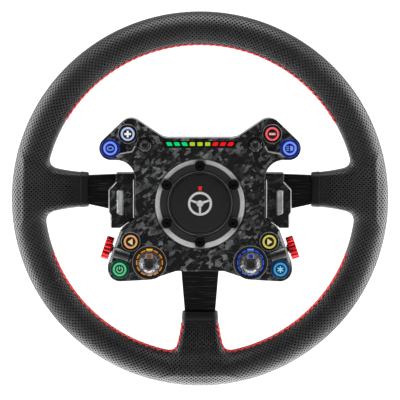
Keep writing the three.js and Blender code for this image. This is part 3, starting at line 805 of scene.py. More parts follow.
# Pale metals for thin strips laid along edges: painted highlights, one bright and one dim.
PAINTED_HIGHLIGHT = metal("painted_highlight_metal", grey(0.7), 0.4, metallic=0.3)
PAINTED_DIM_HIGHLIGHT = metal("painted_dim_highlight_metal", grey(0.26), 0.4, metallic=0.3)
PANEL_GREY = forged_carbon("pale_forged_carbon", 0.2, 0.8)
PALE_PRINT = plastic("pale_print", grey(0.52), 0.35, spread=0.1)
RED_PRINT = plastic("red_print", (0.75, 0.01, 0.012), 0.35, spread=0.1)


# ---------------------------------------------------------------- grip

SLEEVE_HALF_WIDTH = 15.6
SLEEVE_HALF_DEPTH = 6.0
SLEEVE_CORNER = 4.8
FILLET = 9.0
GRIP_VOXEL = 1.5
SEAM_Y = RIM_Y - 4.5
BAND_LENGTH = 7.0
SPOKE_DIRECTIONS = [  # name, radial direction, offset across, distance of the leather's end, extra width
    ("right", Vector((1, 0, 0)), middle_of("paddle_pin_right").z + 7, 104.0, 0.0),
    ("left", Vector((-1, 0, 0)), -middle_of("paddle_pin_left").z - 7, 104.0, 0.0),
    ("bottom", Vector((0, 0, -1)), 0.0, 105.0, 0.5),
]


def along_spoke(points, spoke):
    """Distance out along a spoke, and across it in the sense of growing angle."""
    _, radial, offset, _, _ = spoke
    out = points[:, 0] * radial.x + points[:, 2] * radial.z
    across = points[:, 2] * radial.x - points[:, 0] * radial.z - offset
    return out, across


def spoke_point(out, across, through, spoke):
    """The point at a distance out along a spoke, across it and through its thickness."""
    _, radial, offset, _, _ = spoke
    t = across + offset
    return out * radial.x - t * radial.z, RIM_Y + through, out * radial.z + t * radial.x


def sleeve_section(out, spoke):
    """Half-width, half-depth and corner radius of a sleeve at a distance out."""
    end, extra = spoke[3:]
    flare = np.clip((out - end) / (RIM_RADIUS - end), 0, 1)
    width = SLEEVE_HALF_WIDTH + extra + 5 * flare + 10 * flare**3
    depth = SLEEVE_HALF_DEPTH + 7 * flare
    return width, depth, np.minimum(depth - 0.6, SLEEVE_CORNER + 4 * flare)


def sleeve_distance(points, spoke):
    """Signed distance to a sleeve, rounded at its corners and its end."""
    out, across = along_spoke(points, spoke)
    width, depth, corner = sleeve_section(out, spoke)
    side = np.abs(across) - (width - corner)
    front = np.abs(points[:, 1] - RIM_Y) - (depth - corner)
    outside = np.hypot(np.maximum(side, 0), np.maximum(front, 0))
    section = outside + np.minimum(np.maximum(side, front), 0) - corner
    end = spoke[3] - out
    return np.maximum(smooth_max(section, end, 2.0), out - RIM_RADIUS)


def smooth_min(a, b, reach):
    blend = np.maximum(reach - np.abs(a - b), 0) / reach
    return np.minimum(a, b) - blend**2 * reach / 4


def smooth_max(a, b, reach):
    return -smooth_min(-a, -b, reach)


def ring_distance(points):
    """Signed distance to the plain ring of the grip."""
    radius = np.hypot(points[:, 0], points[:, 2])
    return np.hypot(radius - RIM_RADIUS, points[:, 1] - RIM_Y) - GRIP_RADIUS


def grip_distance(points):
    distance = ring_distance(points)
    for spoke in SPOKE_DIRECTIONS:
        distance = smooth_min(distance, sleeve_distance(points, spoke), FILLET)
    return distance


def grip_gradient(points):
    step = 0.05
    slopes = []
    for axis in range(3):
        shift = np.zeros(3)
        shift[axis] = step
        slopes.append((grip_distance(points + shift) - grip_distance(points - shift)) / (2 * step))
    return np.stack(slopes, axis=1)


def onto_grip(points, rounds=4, free=(1, 1, 1)):
    """Points moved onto the grip's surface, along the axes that are free."""
    for _ in range(rounds):
        slope = grip_gradient(points) * np.array(free)
        size = np.maximum(np.sum(slope**2, axis=1), 0.05)
        points = points - slope * (np.clip(grip_distance(points), -3, 3) / size)[:, None]
    return points


def rough_sleeve(spoke):
    """A coarse closed sleeve for the remesh to start from."""
    stations = np.linspace(spoke[3], RIM_RADIUS - 2, 8)
    vertices = []
    for out in stations:
        width, depth, _ = sleeve_section(out, spoke)
        for across, through in ((1, 1), (1, -1), (-1, -1), (-1, 1)):
            vertices.append(spoke_point(out, across * width, through * depth, spoke))
    return vertices, capped_faces(len(stations), 4)


def ring_mesh(steps=160, sides=32):
    """A closed ring for the remesh to start from."""
    vertices = []
    for i in range(steps):
        for radius, y in circle(GRIP_RADIUS, RIM_RADIUS, RIM_Y, sides):
            x, z = polar(radius, 2 * math.pi * i / steps)
            vertices.append((x, y, z))
    return vertices, ring_faces(steps, sides, closed=True)


def hide_coordinates(points):
    """Where each point lies on the flat hide in hole spacings, and how far it is perforated."""
    wrap = math.radians(209)
    theta = np.arctan2(points[:, 2], points[:, 0])
    theta = np.mod(theta - wrap, 2 * math.pi) + wrap
    radius = np.hypot(points[:, 0], points[:, 2])
    tip = np.arctan2(RIM_Y - points[:, 1], radius - RIM_RADIUS)
    tip = np.where(tip > math.pi - math.asin((RIM_Y - SEAM_Y) / GRIP_RADIUS), tip - 2 * math.pi, tip)
    u, v = RIM_RADIUS * theta, GRIP_RADIUS * tip
    cover = np.ones(len(points))
    ring = ring_distance(points)
    front = np.where(points[:, 1] < SEAM_Y, 1.0, -1.0)
    for spoke, start in zip(SPOKE_DIRECTIONS, (2 * math.pi, math.pi, 1.5 * math.pi)):
        out, across = along_spoke(points, spoke)
        _, depth, _ = sleeve_section(out, spoke)
        centre = start if start >= wrap else start + 2 * math.pi
        folded = np.maximum(depth - np.abs(points[:, 1] - RIM_Y), 0)
        sleeve_u = RIM_RADIUS * centre + spoke[2] * (1 if spoke[0] != "bottom" else 0)
        sleeve_u = sleeve_u + across + np.sign(across) * folded * 0.8
        sleeve_v = front * (GRIP_RADIUS * math.pi / 2 + (RIM_RADIUS - out))
        share = np.clip(0.5 + (ring - sleeve_distance(points, spoke)) / 16, 0, 1)
        share = share * share * (3 - 2 * share)
        u, v = u + (sleeve_u - u) * share, v + (sleeve_v - v) * share
        cover *= np.where(share > 0.5, np.clip((out - spoke[3] - BAND_LENGTH - 0.5) / 2, 0, 1), 1)
    diagonal = PERFORATION_PITCH * math.sqrt(2)
    near_seam = np.abs(points[:, 1] - SEAM_Y)
    inner = radius < RIM_RADIUS
    cover *= np.where(inner, np.clip((near_seam - 2.0) / 1.5, 0, 1), 1)
    return np.stack([(u + v) / diagonal, (u - v) / diagonal, cover], axis=1)


def make_grip():
    parts = [ring_mesh(), *map(rough_sleeve, SPOKE_DIRECTIONS)]
    grip = joined("rim_leather_grip", parts)
    remesh = grip.modifiers.new("remesh", "REMESH")
    remesh.mode = "VOXEL"
    remesh.voxel_size = GRIP_VOXEL * MM
    applied(grip)
    smooth = grip.modifiers.new("relax", "SMOOTH")
    smooth.iterations = 4
    applied(grip)
    count = len(grip.data.vertices)
    points = np.empty(count * 3)
    grip.data.vertices.foreach_get("co", points)
    points = onto_grip(points.reshape(-1, 3) / MM)
    grip.data.vertices.foreach_set("co", (points * MM).ravel())
    hide = grip.data.attributes.new("hide", "FLOAT_VECTOR", "POINT")
    hide.data.foreach_set("vector", hide_coordinates(points).astype(np.float32).ravel())
    grip.data.update()
    return publish(grip, LEATHER, "wheel", ["rim_leather"], sharp=80)


def make_band(spoke):
    """The smooth folded band around a sleeve's end, standing a little proud."""
    name, end = spoke[0], spoke[3]
    profile = [(-0.5, -1.4), (-0.7, -0.3), (-0.4, 0.25), (0.2, 0.45), (3.4, 0.5),
               (BAND_LENGTH - 0.6, 0.42), (BAND_LENGTH, 0.15), (BAND_LENGTH + 0.25, -0.5), (3, -1.6)]
    vertices = []
    for step, proud in profile:
        width, depth, corner = sleeve_section(end + step, spoke)
        w, d, c = width + proud, depth + proud, max(0.5, float(corner) + proud)
        section = outline([(w, d, c), (w, -d, c), (-w, -d, c), (-w, d, c)])
        vertices += [spoke_point(end + step, across, through, spoke) for across, through in section]
    faces = ring_faces(len(profile), len(section), closed=True)
    band = mesh_object(f"sleeve_band_{name}", vertices, faces)
    return publish(band, FOLD, "wheel", sharp=60)


STITCH_PITCH = 6.2
STITCH_RADIUS = 0.7
SEAM_STEP = 0.5


def trace_seam(start_degrees, turn, keep_going):
    """Even steps along the inner seam from an angle on the ring, with the surface's direction out."""
    angle = math.radians(start_degrees)
    inner = RIM_RADIUS - GRIP_RADIUS
    point = np.array([[inner * math.cos(angle), SEAM_Y, inner * math.sin(angle)]])
    point = onto_grip(point, 6, free=(1, 0, 1))
    stations = []
    while keep_going(point[0]) and len(stations) < 2000:
        out = grip_gradient(point)[0]
        flat = np.array([out[0], 0, out[2]])
        flat /= np.linalg.norm(flat)
        along = turn * np.array([flat[2], 0, -flat[0]])
        stations.append((point[0], out / np.linalg.norm(out), along))
        point = onto_grip(point + along * SEAM_STEP, 3, free=(1, 0, 1))
    return stations


def cross_stitches(stations):
    """Two crossing threads at each stitch along a traced seam."""
    parts = []
    every = round(STITCH_PITCH / SEAM_STEP)
    for i in range(every // 2, len(stations) - every // 2, every):
        point, out, along = stations[i]
        over = np.cross(out, along)
        for slant in (1, -1):
            path = []
            for t in np.linspace(-1, 1, 9):
                arch = 0.75 * (1 - t**4) - 0.35 + 0.12 * slant
                path.append(point + along * t * 3.0 + over * slant * t * 1.9 + out * arch)
            parts.append(tube_mesh(onto_arch(path, point, out), STITCH_RADIUS, 6))
    return parts


def onto_arch(path, point, out):
    """A stitch's path, bent to follow the round grip below it."""
    path = np.array(path)
    lift = (path - point) @ out
    ground = onto_grip(path - np.outer(lift, out), 3)
    return ground + np.outer(lift, out)


def in_upper_arc(point):
    return math.atan2(point[2], point[0]) < math.radians(150)


def in_lower_arc(point):
    """Whether a point is on a lower arc, and not yet at the end of the bottom sleeve."""
    return point[2] < 0 and not (abs(point[0]) < 30 and point[2] > -114)


def make_stitching():
    starts = [(30, 1, in_upper_arc), (200, 1, in_lower_arc), (340, -1, in_lower_arc)]
    arcs = [trace_seam(*start) for start in starts]
    parts = [part for arc in arcs for part in cross_stitches(arc)]
    stitching = joined("rim_stitching", parts)
    return publish(stitching, THREAD, "wheel", sharp=60)


# ---------------------------------------------------------------- rim frame

SPOKE_CORNERS = both_sides([
    (24, 44, 20), (38, 26, 10), (104, 23.4, 4), (112, 20, 4), (152, 19, 1), (152, 1, 1), (112, 0, 4),
    (104, -3.6, 4), (66, -12, 20), (32, -29, 8), (23, -34, 8), (17.8, -62, 20), (14.2, -105.5, 4),
    (11.5, -113, 4), (11, -152, 1),
])
FRAME_BORE = 22


def make_frame():
    rows = edge_rows(FRAME_BACK, FRAME_FRONT, 0.6, 0.7)
    spokes = flat_piece("rim_frame_spokes", outline(SPOKE_CORNERS), rows, [circle(FRAME_BORE)])
    publish(spokes, SPOKE, "wheel", ["rim_frame"])


# ---------------------------------------------------------------- button box

BOX_CORNERS = both_sides([
    (33, 60.6, 14), (64.7, 82, 12.5), (108, 40.3, 10.7), (59.6, 40.3, 17), (59.6, -14.5, 6),
    (73.1, -24, 5), (84.7, -55.5, 20), (85.2, -72.5, 11.5), (46, -70.4, 16), (22, -62.2, 12),
])
HOUSING_BORE = 30
HOUSING_STEP = 0.9
STICK_WELL = {"radius": 6.6, "depth": 4.4}
HOUSING_BOLTS = [(66, 62), (84, 50), (64, -38), (72, -62), (20, 48), (20, -54)]
WALL_RIDGES = (-58.5, -66.5, -73.5)
BUTTONS = ("upper_inner", "upper_outer", "lower_inner", "lower_outer")
HOLES = {"button": 7.7, "joystick": 4.6, "rotary": 9.0}
RING_HOLE = 41.6
POCKET_CORNERS = [
    (60, 90, 0), (110, 90, 0), (110, 30, 0), (80, 36, 4), (73, 46, 4), (61.5, 48, 3), (56.5, 59, 4),
    (56.5, 74, 3),
]
POCKET_DEPTH = 1.2
FACET = {"from": (73.4, -24.6), "to": (84.3, -54.5), "width": 2.6, "depth": 2.0}
HUMP_RADIUS = 6.2
HUMP_LENGTH = 15.0
HUMP_HEIGHT = 2.8
THUMB_TILT = math.radians(18.4)


def place_of(node):
    """(x, z) of a CAD node's centre."""
    middle = middle_of(node)
    return middle.x, middle.z


def make_housing():
    """Rear shell with a ridged wall, and pads, vents, thumb wheel holes and stick wells cut into it."""
    rows = edge_rows(HOUSING_BACK, HOUSING_FRONT, 2.4, 0.3, 4)
    half = len(rows) // 2
    walls = rows[:half]
    for y in WALL_RIDGES:
        walls += [(0, y + 0.5), (0.35, y + 0.3), (0.35, y - 0.3), (0, y - 0.5)]
    shell = outline(BOX_CORNERS)
    stepped = [(extra + HOUSING_STEP, y) for extra, y in walls + rows[half:]]
    housing = flat_piece("rear_housing_shell", shell, stepped, [circle(HOUSING_BORE, steps=96)])
    tools = []
    over = HOUSING_BACK + 3
    for side, sign in SIDES.items():
        pad = outline(mirror([(30, 40, 3), (52, 52, 3), (56, 30, 3), (50, 30, 3), (46, 38, 3)], sign))
        tools.append(flat_piece("pad", pad, [(0, over), (0, HOUSING_BACK), (0.8, HOUSING_BACK - 0.8)]))
        for z in (-42, -46.5, -51, -55.5):
            vent = outline(mirror([(58, z, 0.9), (72, z, 0.9), (72, z - 2, 0.9), (58, z - 2, 0.9)], sign))
            tools.append(flat_piece("vent", vent, [(0, over), (0, HOUSING_BACK - 1.5)]))
        tools.append(turned("thumb_hole", [(0, -22), (3.2, -22), (3.2, 0), (0, 0)]))
        tools[-1].data.transform(thumb_frame(sign, THUMB_CENTRE[sign]))
        radius, floor = STICK_WELL["radius"], HOUSING_FRONT + STICK_WELL["depth"]
        well = [(0, HOUSING_FRONT - 3), (radius, HOUSING_FRONT - 3), (radius, floor, 0.5), (0, floor)]
        tools.append(turned("stick_well", well, *place_of(f"joystick_gimbal_{side}"), 48))
    cut(housing, *tools)
    publish(housing, HOUSING, "wheel", ["rear_housing"])
    profile = [(0, 0.05), (0.9, 0.05), (0.95, 0.75), (1.9, 0.8), (2.4, 0.4), (2.4, -1), (0, -1)]
    profile = [(radius, HOUSING_BACK + y) for radius, y in profile]
    screws = [turned_mesh(profile, sign * x, z, 20) for sign in SIDES.values() for x, z in HOUSING_BOLTS]
    publish(joined("housing_screws", screws), BLACK_STEEL, "wheel")


def thumb_frame(sign, centre):
    """Turns a piece made along Y onto a thumb wheel's axis, its outer end along +Y."""
    lean = Matrix.Rotation(-sign * (math.pi / 2), 4, "Z")
    tilt = Matrix.Rotation(-sign * THUMB_TILT, 4, "Y")
    return Matrix.Translation(Vector(centre) * MM) @ tilt @ lean


def joint_place(name):
    """A joint's stated point, in millimetres."""
    found = next(joint for joint in frame["joints"] if joint["name"] == name)
    return Vector(found["pos_m"]) / MM


THUMB_CENTRE = {sign: joint_place(f"thumb_turn_{side}") for side, sign in SIDES.items()}


def control_holes():
    holes = []
    for side in SIDES:
        for button in BUTTONS:
            holes.append(circle(HOLES["button"], *place_of(f"button_bezel_{button}_{side}")))
        holes.append(circle(HOLES["joystick"], *place_of(f"joystick_gimbal_{side}")))
        holes.append(circle(HOLES["rotary"], *place_of(f"rotary_light_ring_{side}")))
    return holes


def window_outline(grow):
    return outline(both_sides([(35.2 + grow, 57.8 + grow, 0.8), (31.2 + grow, 51.6 - grow, 2)]))


def facet_frame(sign):
    """Start, direction along and direction inwards of the ribbed facet beside a thumb wheel."""
    start = Vector((sign * FACET["from"][0], FACET["from"][1]))
    end = Vector((sign * FACET["to"][0], FACET["to"][1]))
    along = (end - start).normalized()
    inward = Vector((along.y, -along.x)) * sign
    return start, end, along, inward


def prism(name, section, start, end, inward):
    """A bar of constant section between two points; section rows are (inward, y)."""
    vertices = []
    for point in (start, end):
        vertices += [(point.x + inward.x * d, y, point.y + inward.y * d) for d, y in section]
    return mesh_object(name, vertices, capped_faces(2, len(section)))


def make_plate():
    holes = [circle(RING_HOLE, steps=96), *control_holes()]
    rows = edge_rows(PLATE_BACK, PLATE_FRONT, 0.3, 0.9)
    plate = flat_piece("forged_front_plate", outline(BOX_CORNERS), rows, holes)
    cut(plate, flat_piece("window", window_outline(0.3), [(0, PLATE_BACK + 1), (0, PLATE_FRONT - 1)]))
    for sign in SIDES.values():
        pocket = outline(mirror(POCKET_CORNERS, sign))
        floor = PLATE_FRONT + POCKET_DEPTH
        slope = [(-0.2, PLATE_FRONT - 4), (-0.2, PLATE_FRONT - 0.05), (0.15, PLATE_FRONT + 0.2),
                 (1.15, floor - 0.12), (1.6, floor)]
        cut(plate, flat_piece("pocket", pocket, slope))
        start, end, _, inward = facet_frame(sign)
        wedge = [(-3, PLATE_FRONT - 3), (FACET["width"], PLATE_FRONT - 3), (FACET["width"], PLATE_FRONT),
                 (-3, PLATE_FRONT + FACET["depth"] * (1 + 3 / FACET["width"]))]
        cut(plate, prism("facet", wedge, start, end, inward))
    publish(plate, CARBON, "wheel", ["front_plate"])
    for side, sign in SIDES.items():
        make_hump(side, sign)
        make_facet_ribs(side, sign)
        # Painted highlight: a pale strip along the lower wall of the button pocket.
        pocket_highlight_path = outline(mirror([(76.5, 43.5), (73, 46, 3), (61.8, 48, 3), (59.2, 53)], sign))
        path = [(x, PLATE_FRONT + 0.55, z) for x, z in pocket_highlight_path]
        publish(tube(f"pocket_edge_highlight_{side}", path, 0.75, 10), PAINTED_DIM_HIGHLIGHT, "wheel")


def make_hump(side, sign):
    """Half-round hump over the thumb wheel's encoder, sunk a little into the plate, with room cut for the
    lower buttons' bezels.
    """
    centre_y = PLATE_FRONT + HUMP_RADIUS - HUMP_HEIGHT
    axis = thumb_frame(sign, Vector((THUMB_CENTRE[sign].x, centre_y, THUMB_CENTRE[sign].z)))
    near, far = -14 - HUMP_LENGTH / 2, -14 + HUMP_LENGTH / 2
    profile = [(0, near), (HUMP_RADIUS, near, 0.9), (HUMP_RADIUS, far, 0.9), (0, far)]
    hump = turned(f"encoder_hump_{side}", profile, steps=96)
    hump.data.transform(axis)
    under, above = PLATE_FRONT + 1.0, PLATE_FRONT - 10
    box = [(-200, under), (-200, above), (200, above), (200, under)]
    keep = prism("keep", box, Vector((0, -200)), Vector((0, 200)), Vector((1, 0)))
    cut(hump, keep, operation="INTERSECT")
    tools = []
    for button in ("lower_inner", "lower_outer"):
        x, z = place_of(f"button_bezel_{button}_{side}")
        tools.append(turned("bore", [(0, -90), (9.3, -90), (9.3, -70), (0, -70)], x, z))
    cut(hump, *tools)
    publish(hump, HUMP_BLACK, "wheel", sharp=45)


def make_facet_ribs(side, sign):
    """Light ribbed strip lying in the facet at the plate's lower side edge."""
    start, end, along, inward = facet_frame(sign)
    slope = FACET["depth"] / FACET["width"]
    length = (end - start).length
    parts = []
    pitch = 1.35
    for i in range(int(length / pitch)):
        at = start + along * (i + 0.5) * pitch
        skew = along * 0.9
        vertices = []
        for d, shift in ((0.15, -skew), (FACET["width"] - 0.1, skew)):
            point = at + shift * 0.5 + inward * d
            y = PLATE_FRONT + FACET["depth"] - slope * d
            for across, lift in ((-0.42, 0.1), (-0.25, -0.22), (0.25, -0.22), (0.42, 0.1)):
                place = point + along * across
                vertices.append((place.x, y + lift, place.y))
        faces = [(0, 1, 2, 3), (4, 5, 6, 7), (0, 1, 5, 4), (1, 2, 6, 5), (2, 3, 7, 6), (3, 0, 4, 7)]
        parts.append((vertices, faces))
    publish(joined(f"facet_ribs_{side}", parts), RIB_GREY, "wheel")


PANEL_CORNERS = [
    (60.2, 27, 1.2), (77.4, 27, 1.6), (77.4, 19, 2), (84.4, 11.6, 2), (84.4, -8.4, 2), (82.6, -11.5, 2),
    (82.6, -23.5, 2), (73.6, -23.5, 1.6), (60.2, -14, 3),
]
PANEL_RIB = [(70.2, 11.6, 1.8), (76.6, 11.6, 1.8), (76.6, -10, 1.8), (70.2, -12.6, 1.8)]
PANEL_BACK = box_mm("side_panel_right")[1].y
PANEL_FRONT = box_mm("side_panel_right")[0].y + 2


def make_panel(side, sign):
    rows = edge_rows(PANEL_BACK, PANEL_FRONT, 0.8, 1.0)
    panel = flat_piece(f"forged_side_panel_{side}", outline(mirror(PANEL_CORNERS, sign)), rows)
    groove = [(63.2, 26.2), (64.0, 26.2), (64.0, 8.2), (69.2, 2.6), (69.2, 1.5), (63.2, 7.8)]
    cut(panel, flat_piece("channel", mirror(groove, sign), [(0, PANEL_FRONT - 2), (0, PANEL_FRONT + 0.7)]))
    publish(panel, DARK_CARBON, "wheel", [f"side_panel_{side}"])
    rows = [(0, 0.4), (0, -0.3), (1.0, -1.9), (1.3, -2), (1.45, -2)]
    rows = [(distance, PANEL_FRONT + y) for distance, y in rows]
    rib = flat_piece(f"panel_rib_{side}", outline(mirror(PANEL_RIB, sign)), rows)
    publish(rib, PANEL_GREY, "wheel")
    # Painted highlights: pale strips along the side panel's outer edge and the plate's edge beside it.
    edge = [(77.4, 19), (84.4, 11.6), (84.4, -8.4), (82.6, -11.5), (82.6, -23.0)]
    path = [(sign * x - sign * 0.75, PANEL_FRONT - 0.02, z) for x, z in edge]
    publish(tube(f"panel_edge_highlight_{side}", path, 0.42), PAINTED_HIGHLIGHT, "wheel")
    path = [(sign * 60.9, PLATE_FRONT + 2.4, z) for z in (22, -13)]
    publish(tube(f"plate_edge_highlight_{side}", path, 0.45), PAINTED_HIGHLIGHT, "wheel")


# ---------------------------------------------------------------- shift lights

LED_GROUPS = [("led_green", "light_green", 1), ("led_lime", "light_yellow", 0), ("led_red", "light_red", -1)]
LEDS_PER_GROUP = 3
LED_PITCH = 7.0
LED_SIZE = (4.6, 3.4)
LED_LEAN = 0.448


def make_window():
    low, high = WINDOW_LOW, WINDOW_HIGH
    rows = edge_rows(high.y, low.y, 0.2, 0.25, 2)
    lens = flat_piece("shift_light_lens", window_outline(-0.05), rows)
    publish(lens, LENS, "wheel", ["shift_light_window"])
    height = (high.z + low.z) / 2
    count = LEDS_PER_GROUP * len(LED_GROUPS)
    w, h = LED_SIZE[0] / 2, LED_SIZE[1] / 2
    rows = edge_rows(low.y + 0.2, low.y - 0.12, 0.02, 0.12, 2)
    for i in range(count):
        light, slot, lean = LED_GROUPS[i // LEDS_PER_GROUP]
        place = (i - (count - 1) / 2) * LED_PITCH
        shift = lean * LED_LEAN * h
        corners = [(place + w - shift, height + h, 0.5), (place + w + shift, height - h, 0.5),
                   (place - w + shift, height - h, 0.5), (place - w - shift, height + h, 0.5)]
        publish(flat_piece(f"shift_light_{i + 1}", outline(corners), rows), LIGHTS[light], "wheel")


# ---------------------------------------------------------------- centre

RING_FLOOR_RADIUS = 36.8
RING_RADIUS = 41.3
RING_FLOOR_Y = -76.2
RING_BACK_Y = box_mm("center_ring")[1].y
BOLT_HEAD_RADIUS = 5.0
BOLT_END_Y = -38.4
BOLT_HEAD_FRONT = box_mm("hub_bolt_1")[0].y


def make_centre():
    bore = CAP_RADIUS + 0.5
    ring = turned("center_ring_dish", [
        (bore, RING_FLOOR_Y + 0.6), (bore + 0.6, RING_FLOOR_Y), (RING_FLOOR_RADIUS, RING_FLOOR_Y, 0.5),
        (RING_RADIUS - 0.35, RING_FRONT, 0.15), (RING_RADIUS, RING_FRONT, 0.12), (RING_RADIUS, HOUSING_FRONT),
        (44, HOUSING_FRONT), (44, RING_BACK_Y), (bore, RING_BACK_Y),
    ], steps=144)
    floor = RING_FLOOR_Y + 0.02
    scallop = [(0, -95), (5.3, -95), (5.3, floor), (0, floor)]
    cut(ring, *[turned("scallop", scallop, p.x, p.z, 40) for p in BOLT_POSITIONS])
    publish(ring, [DARK_ALUMINIUM, WALL], "wheel", ["center_ring"], sharp=25)
    for face in ring.data.polygons:
        middle = face.center / MM
        radius = math.hypot(middle.x, middle.z)
        sloped = RING_FLOOR_RADIUS - 0.2 < radius < RING_RADIUS - 0.2 and abs(face.normal.y) < 0.97
        facing_in = face.normal.x * middle.x + face.normal.z * middle.z < 0
        face.material_index = 1 if sloped and facing_in and middle.y < RING_FLOOR_Y - 0.1 else 0
    front = box_mm("center_cap")[0].y
    cap = turned("center_cap_disc", [
        (0, front), (25.4, front + 0.3, 1.5), (26.6, front + 0.55, 0.3), (27.2, front + 1.3, 0.2),
        (27.7, front + 0.55, 0.2), (CAP_RADIUS - 0.2, front + 0.75, 0.4), (CAP_RADIUS, front + 1.4),
        (CAP_RADIUS, -73.5), (21, -73.5), (21, -75), (0, -75),
    ], steps=120)
    publish(cap, SATIN, "wheel", ["center_cap"], sharp=25)
    # Painted highlight: a pale ring along the centre cap's rim.
    groove = turned("cap_edge_highlight", [
        (CAP_RADIUS - 0.28, front + 0.62), (CAP_RADIUS + 0.06, front + 0.62, 0.1),
        (CAP_RADIUS + 0.06, front + 1.3), (CAP_RADIUS - 0.28, front + 1.3),
    ], steps=120)
    publish(groove, PAINTED_DIM_HIGHLIGHT, "wheel")
    make_emblem(front)
    for i, place in enumerate(BOLT_POSITIONS):
        make_bolt(i + 1, place)


def make_emblem(front):
    """A generic mark: a small three-spoke wheel in pale grey, with a red tick at its top."""
    rows = [(0, front + 0.3), (0, front - 0.12), (0.12, front - 0.2)]
    ring = flat_mesh(circle(11.0, steps=72), rows, [circle(8.9, steps=72)])
    corners = [(2.0, 1.2), (9.5, 0.8), (9.5, -0.8), (2.0, -1.2)]
    spokes = [flat_mesh(spun(corners, math.radians(degrees)), rows) for degrees in (20, 160, 270)]
    hub = flat_mesh(circle(3.1, steps=32), rows)
    publish(joined("cap_emblem_wheel", [ring, *spokes, hub]), PALE_PRINT, "wheel")
    tick = [(-2.0, 15.8, 0.2), (2.0, 15.8, 0.2), (1.1, 12.3, 0.2), (-1.1, 12.3, 0.2)]
    publish(flat_piece("cap_emblem_tick", outline(tick), rows), RED_PRINT, "wheel")


def make_bolt(number, place):
    front, seat = BOLT_HEAD_FRONT, RING_FLOOR_Y - 0.25
    head = turned(f"hub_bolt_head_{number}", [
        (0, front + 0.1), (3.2, front), (BOLT_HEAD_RADIUS, front, 0.55), (BOLT_HEAD_RADIUS, seat, 0.2),
        (2.5, seat), (2.5, BOLT_END_Y, 0.4), (0, BOLT_END_Y),
    ], place.x, place.z, 48)
    rows = [(0, front - 2), (0, front + 2.6), (0.9, front + 3.2)]
    cut(head, flat_piece("socket", circle(2.35, place.x, place.z, 6), rows))
    publish(soften(head, 0.12, 2, 40), INK, "wheel", [f"hub_bolt_{number}"])
    # Painted highlight: a pale ring round the bolt head's edge.
    rim = turned(f"hub_bolt_highlight_{number}", [
        (BOLT_HEAD_RADIUS - 0.3, front + 0.2), (BOLT_HEAD_RADIUS - 0.1, front + 0.22, 0.05),
        (BOLT_HEAD_RADIUS + 0.03, front + 0.6), (BOLT_HEAD_RADIUS - 0.3, front + 0.8),
    ], place.x, place.z, 48)
    publish(rim, PAINTED_DIM_HIGHLIGHT, "wheel")


# ---------------------------------------------------------------- push buttons

BEZEL_RADIUS = 8.9
BEZEL_BORE = 6.95
BUTTON_RADIUS = 6.65
RING_OUTER = 6.3
RING_INNER = 4.45
ICON_SIZE = 1.2


def bar_icon(length, width, rows, degrees=0.0, x=0.0, z=0.0):
    a, b = length / 2, width / 2
    return flat_mesh(spun([(a, b), (a, -b), (-a, -b), (-a, b)], math.radians(degrees), x, z), rows)


def arc_icon(radius, width, first, last, rows):
    """Part of a ring between two angles in degrees."""
    angles = [math.radians(first + (last - first) * k / 20) for k in range(21)]
    outer = [polar(radius + width / 2, angle) for angle in angles]
    inner = [polar(radius - width / 2, angle) for angle in reversed(angles)]
    return flat_mesh(outer + inner, rows)


def icon_plus(rows):
    half, reach = 0.8, 2.55
    arm = [(half, half), (reach, half), (reach, -half)]
    corners = [corner for k in range(4) for corner in spun(arm, -k * math.pi / 2)]
    return [flat_mesh(corners, rows)]


def icon_minus(rows):
    return [bar_icon(4.8, 1.6, rows)]


def icon_arrow(sign):
    corners = mirror([(2.3, 0, 0.3), (-1.5, 2.5, 0.3), (-1.5, -2.5, 0.3)], sign)
    return lambda rows: [flat_mesh(outline(corners), rows)]


def icon_oval(rows):
    unit = circle(1, steps=32)
    outer, hole = [[(width * x, height * z) for x, z in unit] for width, height in ((2.6, 1.75), (1.75, 1.0))]
    return [flat_mesh(outer, rows, [hole])]


def icon_lamp(rows):
    bowl = flat_mesh(outline([(0.4, 2.0, 0.2), (2.6, 1.5, 1.2), (2.6, -1.5, 1.2), (0.4, -2.0, 0.2)]), rows)
    return [bowl] + [bar_icon(1.9, 0.55, rows, x=-1.6, z=z) for z in (1.3, 0, -1.3)]


def icon_power(rows):
    return [arc_icon(2.1, 0.75, 125, 415, rows), bar_icon(0.75, 2.4, rows, z=1.2)]


def icon_star(rows):
    return [bar_icon(5.0, 0.9, rows, degrees) for degrees in (90, 150, 210)]


BUTTON_LOOKS = {  # ring light, icon light, icon, bezel material, bezel slot, cap slot
    ("upper_inner", "left"): ("white_blue", "white", icon_plus, "gloss", "bezel_black", "light_white"),
    ("upper_outer", "left"): ("blue", "blue", icon_oval, "blue_glass", "bezel_blue", "light_blue"),
    ("lower_inner", "left"): ("peach", "cream", icon_arrow(-1), "gloss", "bezel_black", "light_orange"),
    ("lower_outer", "left"): ("green", "pale_green", icon_power, "green_glass", "bezel_green", "light_green"),
    ("upper_inner", "right"): ("pink", "pink_white", icon_minus, "gloss", "bezel_black", "light_pink"),
    ("upper_outer", "right"): ("blue", "blue", icon_lamp, "blue_glass", "bezel_blue", "light_blue"),
    ("lower_inner", "right"): (
        "yellow", "pale_yellow", icon_arrow(1), "gloss", "bezel_black", "light_yellow"),
    ("lower_outer", "right"): ("cyan", "pale_cyan", icon_star, "navy_glass", "bezel_navy", "light_cyan"),
}


def shifted(meshes, x, z, size=1):
    """Meshes made about the axis, grown across it and moved to (x, z)."""
    return [([(px * size + x, y, pz * size + z) for px, y, pz in points], faces) for points, faces in meshes]


